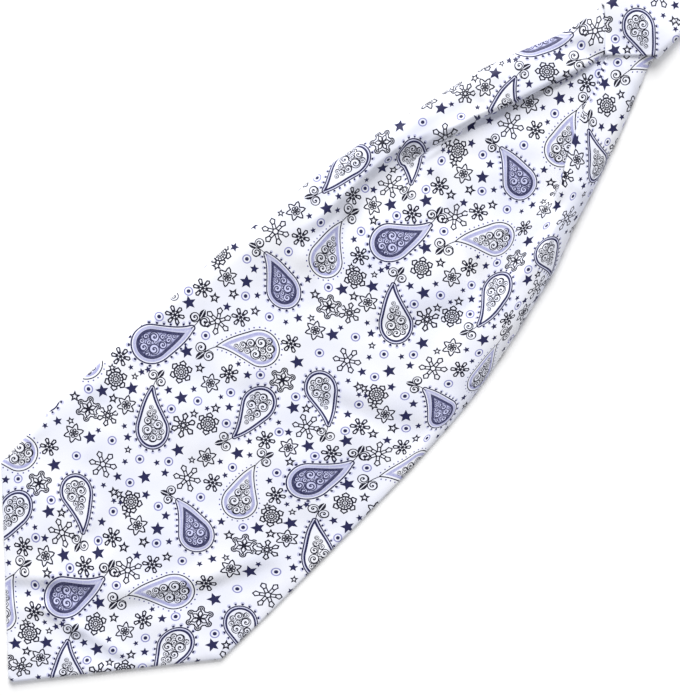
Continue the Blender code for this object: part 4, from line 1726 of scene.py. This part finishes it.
BLADE_1 = Blade(
    name="blade_1",
    tip_across=-7.0,
    left_corner=76.0,
    right_corner=84.5,
    mirrored=False,
    rows=(
        Row(0.0, 74.0, -74.5, 36.0, 0.0, -31.0, 0.0, 3.0, 2.4, 0.0),
        Row(80.0, 74.2, -74.5, 36.0, 0.0, -31.0, 0.0, 3.0, 2.6, 0.0),
        Row(120.0, 75.2, -75.2, 36.0, 0.0, -31.0, 0.0, 3.0, 3.0, 0.0),
        Row(160.0, 73.8, -75.0, 36.0, 0.0, -31.0, 0.0, 3.0, 3.2, 0.0),
        Row(200.0, 71.8, -74.7, 36.0, 0.0, -31.0, 0.0, 3.0, 3.6, 0.0),
        Row(230.0, 70.8, -73.7, 37.0, 0.0, -31.0, 0.0, 3.0, 4.0, 0.0),
        Row(260.0, 67.0, -71.7, 37.0, 0.0, -31.0, 0.0, 3.0, 4.4, 0.0),
        Row(300.0, 62.8, -64.8, 37.5, 0.0, -31.0, 0.0, 3.0, 4.6, 0.0),
        Row(325.0, 58.0, -58.8, 37.0, 0.2, -31.0, 0.0, 3.0, 4.2, 0.0),
        Row(340.0, 54.0, -55.4, 33.0, 1.0, -31.0, 0.0, 2.9, 3.8, 0.0),
        Row(364.0, 48.5, -46.4, 27.3, 3.4, -29.5, 1.0, 2.0, 3.0, 0.1),
        Row(386.0, 43.4, -39.4, 19.0, 6.8, -18.6, 8.6, 1.5, 2.3, 0.6),
        Row(408.0, 35.4, -31.6, 12.2, 13.0, -7.8, 14.5, 1.2, 2.0, 1.5),
        Row(424.0, 29.0, -25.4, 6.6, 17.0, -2.4, 16.8, 1.0, 1.9, 2.4),
        Row(436.0, 25.4, -20.4, 4.4, 17.6, 3.0, 17.4, 0.8, 1.9, 3.2),
        Row(453.0, 22.9, -14.9, 4.8, 15.8, 3.4, 15.6, 0.75, 1.9, 4.0),
    ),
    creases=(
        Crease(246.0, 17.0, 262.0, 28.0, 5.0, 0.9),
        Crease(262.0, 28.0, 286.0, 36.0, 5.0, 1.3),
        Crease(286.0, 36.0, 328.0, 37.0, 5.0, 1.6),
        Crease(260.0, 21.0, 286.0, 30.0, 8.0, 0.9),
        Crease(286.0, 30.0, 330.0, 32.0, 9.0, 1.0),
        Crease(258.0, 40.0, 292.0, 44.0, 7.0, -1.7),
        Crease(334.0, 34.8, 352.0, 30.7, 1.9, 2.4),
        Crease(352.0, 30.7, 366.0, 26.6, 1.8, 1.8),
        Crease(366.0, 26.6, 386.0, 18.3, 1.8, 1.9),
        Crease(386.0, 18.3, 408.0, 11.5, 1.7, 1.9),
        Crease(408.0, 11.5, 424.0, 5.9, 1.6, 1.8),
        Crease(424.0, 5.9, 436.0, 3.7, 1.6, 1.6),
        Crease(424.0, 27.0, 431.0, 8.0, 6.0, 1.7),
        Crease(262.0, -40.0, 330.0, -34.0, 12.0, 0.7),
        Crease(32.0, 28.0, 46.0, 12.0, 4.5, 2.2),
        Crease(46.0, 12.0, 58.0, -2.0, 4.5, 1.6),
        Crease(28.0, 20.0, 35.0, 4.0, 6.0, -1.1),
        Crease(35.0, 4.0, 39.0, -16.0, 4.0, 2.0),
        Crease(39.0, -16.0, 46.0, -40.0, 4.0, 2.0),
        Crease(31.0, -20.0, 37.0, -36.0, 6.0, -0.6),
        Crease(39.0, 8.0, 43.0, -13.0, 5.0, -1.5),
        Crease(43.0, -13.0, 50.0, -38.0, 5.0, -1.4),
        Crease(37.0, 32.0, 50.0, 16.0, 5.0, -1.5),
        Crease(50.0, 16.0, 62.0, 2.0, 5.0, -1.2),
        Crease(68.0, -22.0, 106.0, -49.0, 6.5, 1.7),
        Crease(106.0, -49.0, 131.0, -60.0, 6.0, 1.7),
        Crease(74.0, -17.0, 110.0, -44.0, 6.5, -1.2),
        Crease(108.0, -41.0, 128.0, -50.0, 6.0, -0.6),
        Crease(213.0, -22.0, 236.0, -68.0, 5.5, 1.7),
        Crease(330.0, 20.0, 324.0, 1.0, 4.5, 1.3),
        Crease(324.0, 1.0, 308.0, -33.0, 5.0, 1.5),
        Crease(258.0, -14.0, 296.0, -37.0, 6.0, 1.0),
        Crease(92.0, 66.0, 104.0, 44.0, 7.0, 1.0),
        Crease(96.0, 50.0, 128.0, 61.0, 6.0, 1.0),
        Crease(58.0, 30.0, 84.0, 12.0, 7.0, 0.9),
        Crease(84.0, 12.0, 104.0, 14.0, 7.0, 0.8),
        Crease(120.0, -8.0, 168.0, -1.0, 9.0, 0.7),
        Crease(176.0, 34.0, 188.0, 8.0, 8.0, 0.8),
        Crease(372.0, -8.0, 352.0, 16.0, 5.0, 0.7),
    ),
    rumples=(Rumple(32.0, 1.5, 0.3), Rumple(14.0, 0.45, 4.7)),
    roundings=(5.0, 15.0),
    sags=(0.2, 0.8),
    gathers=(0.0, 1.2),
    flap_rises=(0.36, 0.55),
    drifts=(
        Drift(328.0, -36.0, 40.0, 18.0, 0.0, 1.6),
        Drift(36.0, -18.0, 30.0, 26.0, 0.6, 2.8),
        Drift(155.0, -68.0, 50.0, 16.0, -1.6, 1.7),
        Drift(100.0, -50.0, 24.0, 18.0, -1.4, -0.4),
        Drift(80.0, 2.0, 24.0, 18.0, 2.0, -0.3),
        Drift(390.0, 42.0, 26.0, 18.0, 1.6, 1.5),
        Drift(343.0, 36.0, 20.0, 14.0, -1.3, 2.0),
        Drift(200.0, -80.0, 260.0, 34.0, -8.0, 0.0),
        Drift(300.0, 20.0, 75.0, 25.0, 3.3, 0.0),
        Drift(385.0, -12.0, 65.0, 35.0, 2.8, 0.0),
        Drift(245.0, -15.0, 55.0, 45.0, 0.0, 2.6),
        Drift(300.0, 30.0, 70.0, 60.0, 0.0, 1.0),
        Drift(75.0, 45.0, 30.0, 30.0, 0.0, -2.0),
        Drift(160.0, 88.0, 60.0, 18.0, 0.0, -1.8),
        Drift(35.0, 8.0, 30.0, 20.0, 1.8, 1.5),
    ),
    taken=(
        TakeUp(290.0, 2.0, 0.0),
        TakeUp(300.0, 3.0, 1.0),
        TakeUp(312.0, 5.0, 3.0),
        TakeUp(325.0, 8.0, 5.0),
        TakeUp(337.0, 10.5, 8.0),
        TakeUp(348.0, 14.5, 10.5),
        TakeUp(360.0, 18.0, 12.5),
        TakeUp(373.0, 23.0, 15.0),
        TakeUp(384.0, 25.5, 18.5),
        TakeUp(395.0, 29.0, 24.0),
        TakeUp(403.0, 31.0, 29.5),
        TakeUp(411.0, 34.5, 34.0),
        TakeUp(420.0, 38.0, 37.5),
        TakeUp(432.0, 41.0, 42.5),
        TakeUp(453.0, 42.0, 46.0),
    ),
    flap_pivots=(54.0, 33.7),
    front_laying=Laying(2.4, (0.0, 0.0), (0.0, 0.0)),
    back_laying=Laying(1.0, (0.0, 0.0), (64.0, 18.0)),
)

BLADE_2 = Blade(
    name="blade_2",
    tip_across=5.0,
    left_corner=83.0,
    right_corner=78.0,
    mirrored=True,
    rows=(
        Row(0.0, 74.6, -74.2, 31.0, 0.0, -34.0, 0.0, 3.0, 2.4, 0.0),
        Row(80.0, 74.6, -74.2, 31.0, 0.0, -34.0, 0.0, 3.0, 2.6, 0.0),
        Row(120.0, 75.2, -75.2, 31.0, 0.0, -34.0, 0.0, 3.0, 3.0, 0.0),
        Row(160.0, 75.0, -74.4, 31.0, 0.0, -34.0, 0.0, 3.0, 3.4, 0.0),
        Row(200.0, 74.2, -72.6, 31.0, 0.0, -34.0, 0.0, 3.0, 3.8, 0.0),
        Row(230.0, 73.0, -70.6, 31.0, 0.0, -34.5, 0.0, 3.0, 4.0, 0.0),
        Row(260.0, 70.8, -68.0, 31.0, 0.0, -35.0, 0.0, 3.0, 4.3, 0.0),
        Row(300.0, 64.2, -63.4, 31.0, 0.0, -35.0, 0.0, 3.0, 4.5, 0.0),
        Row(325.0, 59.0, -58.2, 31.0, 0.0, -34.0, 0.4, 3.0, 4.2, 0.0),
        Row(340.0, 55.6, -54.4, 31.0, 0.2, -31.0, 1.4, 2.9, 3.8, 0.0),
        Row(364.0, 49.0, -46.4, 28.0, 2.0, -25.0, 4.0, 2.0, 3.0, 0.1),
        Row(386.0, 42.6, -39.0, 20.6, 7.6, -16.6, 8.2, 1.5, 2.3, 0.6),
        Row(408.0, 35.8, -31.4, 13.0, 13.2, -8.4, 14.2, 1.2, 2.0, 1.5),
        Row(424.0, 30.0, -24.8, 7.4, 16.8, -2.6, 16.8, 1.0, 1.9, 2.4),
        Row(436.0, 25.6, -20.2, 4.6, 17.6, 3.2, 17.2, 0.8, 1.9, 3.2),
        Row(453.0, 22.9, -14.9, 4.8, 15.8, 3.4, 15.6, 0.75, 1.9, 4.0),
    ),
    creases=(
        Crease(250.0, -30.0, 290.0, -35.0, 8.0, 1.5),
        Crease(290.0, -35.0, 330.0, -37.0, 8.0, 2.0),
        Crease(262.0, 46.0, 338.0, 39.0, 11.0, 1.1),
        Crease(36.0, -34.0, 50.0, 26.0, 9.0, -0.8),
        Crease(30.0, -22.0, 58.0, 6.0, 6.0, 0.9),
        Crease(58.0, 6.0, 92.0, 50.0, 7.0, 0.9),
        Crease(92.0, 50.0, 118.0, 60.0, 7.0, 0.8),
        Crease(196.0, 30.0, 228.0, 64.0, 7.0, 1.1),
        Crease(300.0, 27.0, 322.0, -6.0, 6.0, 0.8),
        Crease(150.0, -14.0, 198.0, -22.0, 10.0, 0.5),
        Crease(240.0, 12.0, 284.0, 24.0, 8.0, 0.6),
        Crease(100.0, -30.0, 126.0, -56.0, 8.0, 0.8),
    ),
    rumples=(Rumple(34.0, 1.5, 9.1), Rumple(15.0, 0.45, 2.4)),
    roundings=(11.0, 6.0),
    sags=(0.6, 0.3),
    gathers=(0.9, 0.2),
    flap_rises=(0.5, 0.42),
    drifts=(
        Drift(180.0, 78.0, 240.0, 34.0, -6.0, 0.0),
        Drift(290.0, -18.0, 70.0, 28.0, 2.6, 0.0),
        Drift(380.0, 6.0, 65.0, 35.0, 2.4, 0.0),
        Drift(235.0, 12.0, 60.0, 45.0, 0.0, -2.2),
    ),
    taken=(
        TakeUp(290.0, 0.0, 1.0),
        TakeUp(305.0, 1.5, 3.0),
        TakeUp(325.0, 4.5, 7.0),
        TakeUp(345.0, 9.5, 13.0),
        TakeUp(360.0, 13.0, 17.5),
        TakeUp(380.0, 19.0, 24.5),
        TakeUp(400.0, 28.0, 30.5),
        TakeUp(420.0, 37.0, 38.0),
        TakeUp(453.0, 45.0, 43.0),
    ),
    flap_pivots=(36.0, 52.0),
    front_laying=Laying(1.8, (0.0, 0.0), (47.0, 23.0)),
    back_laying=Laying(1.0, (0.0, 0.0), (15.0, 60.0)),
)

NECKBAND = Neckband(
    creases=(
        Crease(441.0, -14.0, 449.0, -8.0, 3.0, 0.8),
        Crease(444.0, 14.0, 446.0, -2.0, 6.0, 1.2),
        Crease(468.0, 24.0, 462.0, -2.0, 8.0, -1.7),
        Crease(520.0, -8.0, 545.0, 14.0, 5.0, 0.5),
        Crease(590.0, 20.0, 612.0, -6.0, 6.0, 0.5),
        Crease(668.0, -12.0, 682.0, 16.0, 5.0, 0.6),
    ),
    top_laying=Laying(10.0, (457.8, 2.2), (215.5, -20.5)),
    under_laying=Laying(3.0, (457.8, 2.2), (180.0, 10.0)),
)


def dress(
    sheet: Sheet,
    node: str,
    silk: bpy.types.Material,
) -> bpy.types.Object:
    """Builds a sheet of the cravat and ties it to the frame.

    Args:
        sheet: the sheet.
        node: the frame's solid that it stands for.
        silk: its material.

    Returns:
        The piece.
    """
    piece = sheet.build(silk)
    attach(piece, "root")
    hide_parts(node)
    sheet.flat_area()
    faces = len(piece.data.polygons)
    size = [round(span / MM) for span in sheet.flat_size()]
    log.info("%s: %d faces, cut %s mm, %.4f m2", piece.name, faces, size, sheet.flat_area())
    return piece


def seams_of(sheet: Sheet) -> list[tuple[np.ndarray, np.ndarray]]:
    """Returns the two long edges of an under layer as seams, low on its wall.

    Args:
        sheet: the under layer.
    """
    level = WALL / 2.0 - SHELL / 2.0
    seams = []
    for column, way in ((0, -1.0), (-1, 1.0)):
        points = sheet.places[:, column].copy()
        points[:, 1] += way * SEAM_GAP / 2.0
        points[:, 2] = level
        seams.append((points, np.array((0.0, way, 0.0))))
    return seams


def main() -> None:
    """Builds the cravat's pieces, its stitches and the studio."""
    logging.basicConfig(level=logging.INFO, format="%(message)s")
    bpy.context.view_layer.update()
    silk = PrintedSilk().material()
    log.info("printed silk: %d nodes", len(silk.node_tree.nodes))
    unders = []
    for blade in (BLADE_1, BLADE_2):
        back = blade.back()
        dress(back, blade.name + "_back", silk)
        dress(blade.front(), blade.name + "_front", silk)
        unders.append(back)
    band_back = NECKBAND.under()
    dress(band_back, "neckband_back", silk)
    dress(NECKBAND.top(), "neckband_front", silk)
    unders.append(band_back)
    thread = SewingThread().material()
    for sheet in unders:
        name = sheet.name.replace("_back_silk", "_slip_stitches")
        stitches = SlipStitches(name, seams_of(sheet)).build(thread)
        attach(stitches, "root")
        log.info("%s: %d faces", stitches.name, len(stitches.data.polygons))
    Studio().build()


if __name__ == "__main__":
    main()
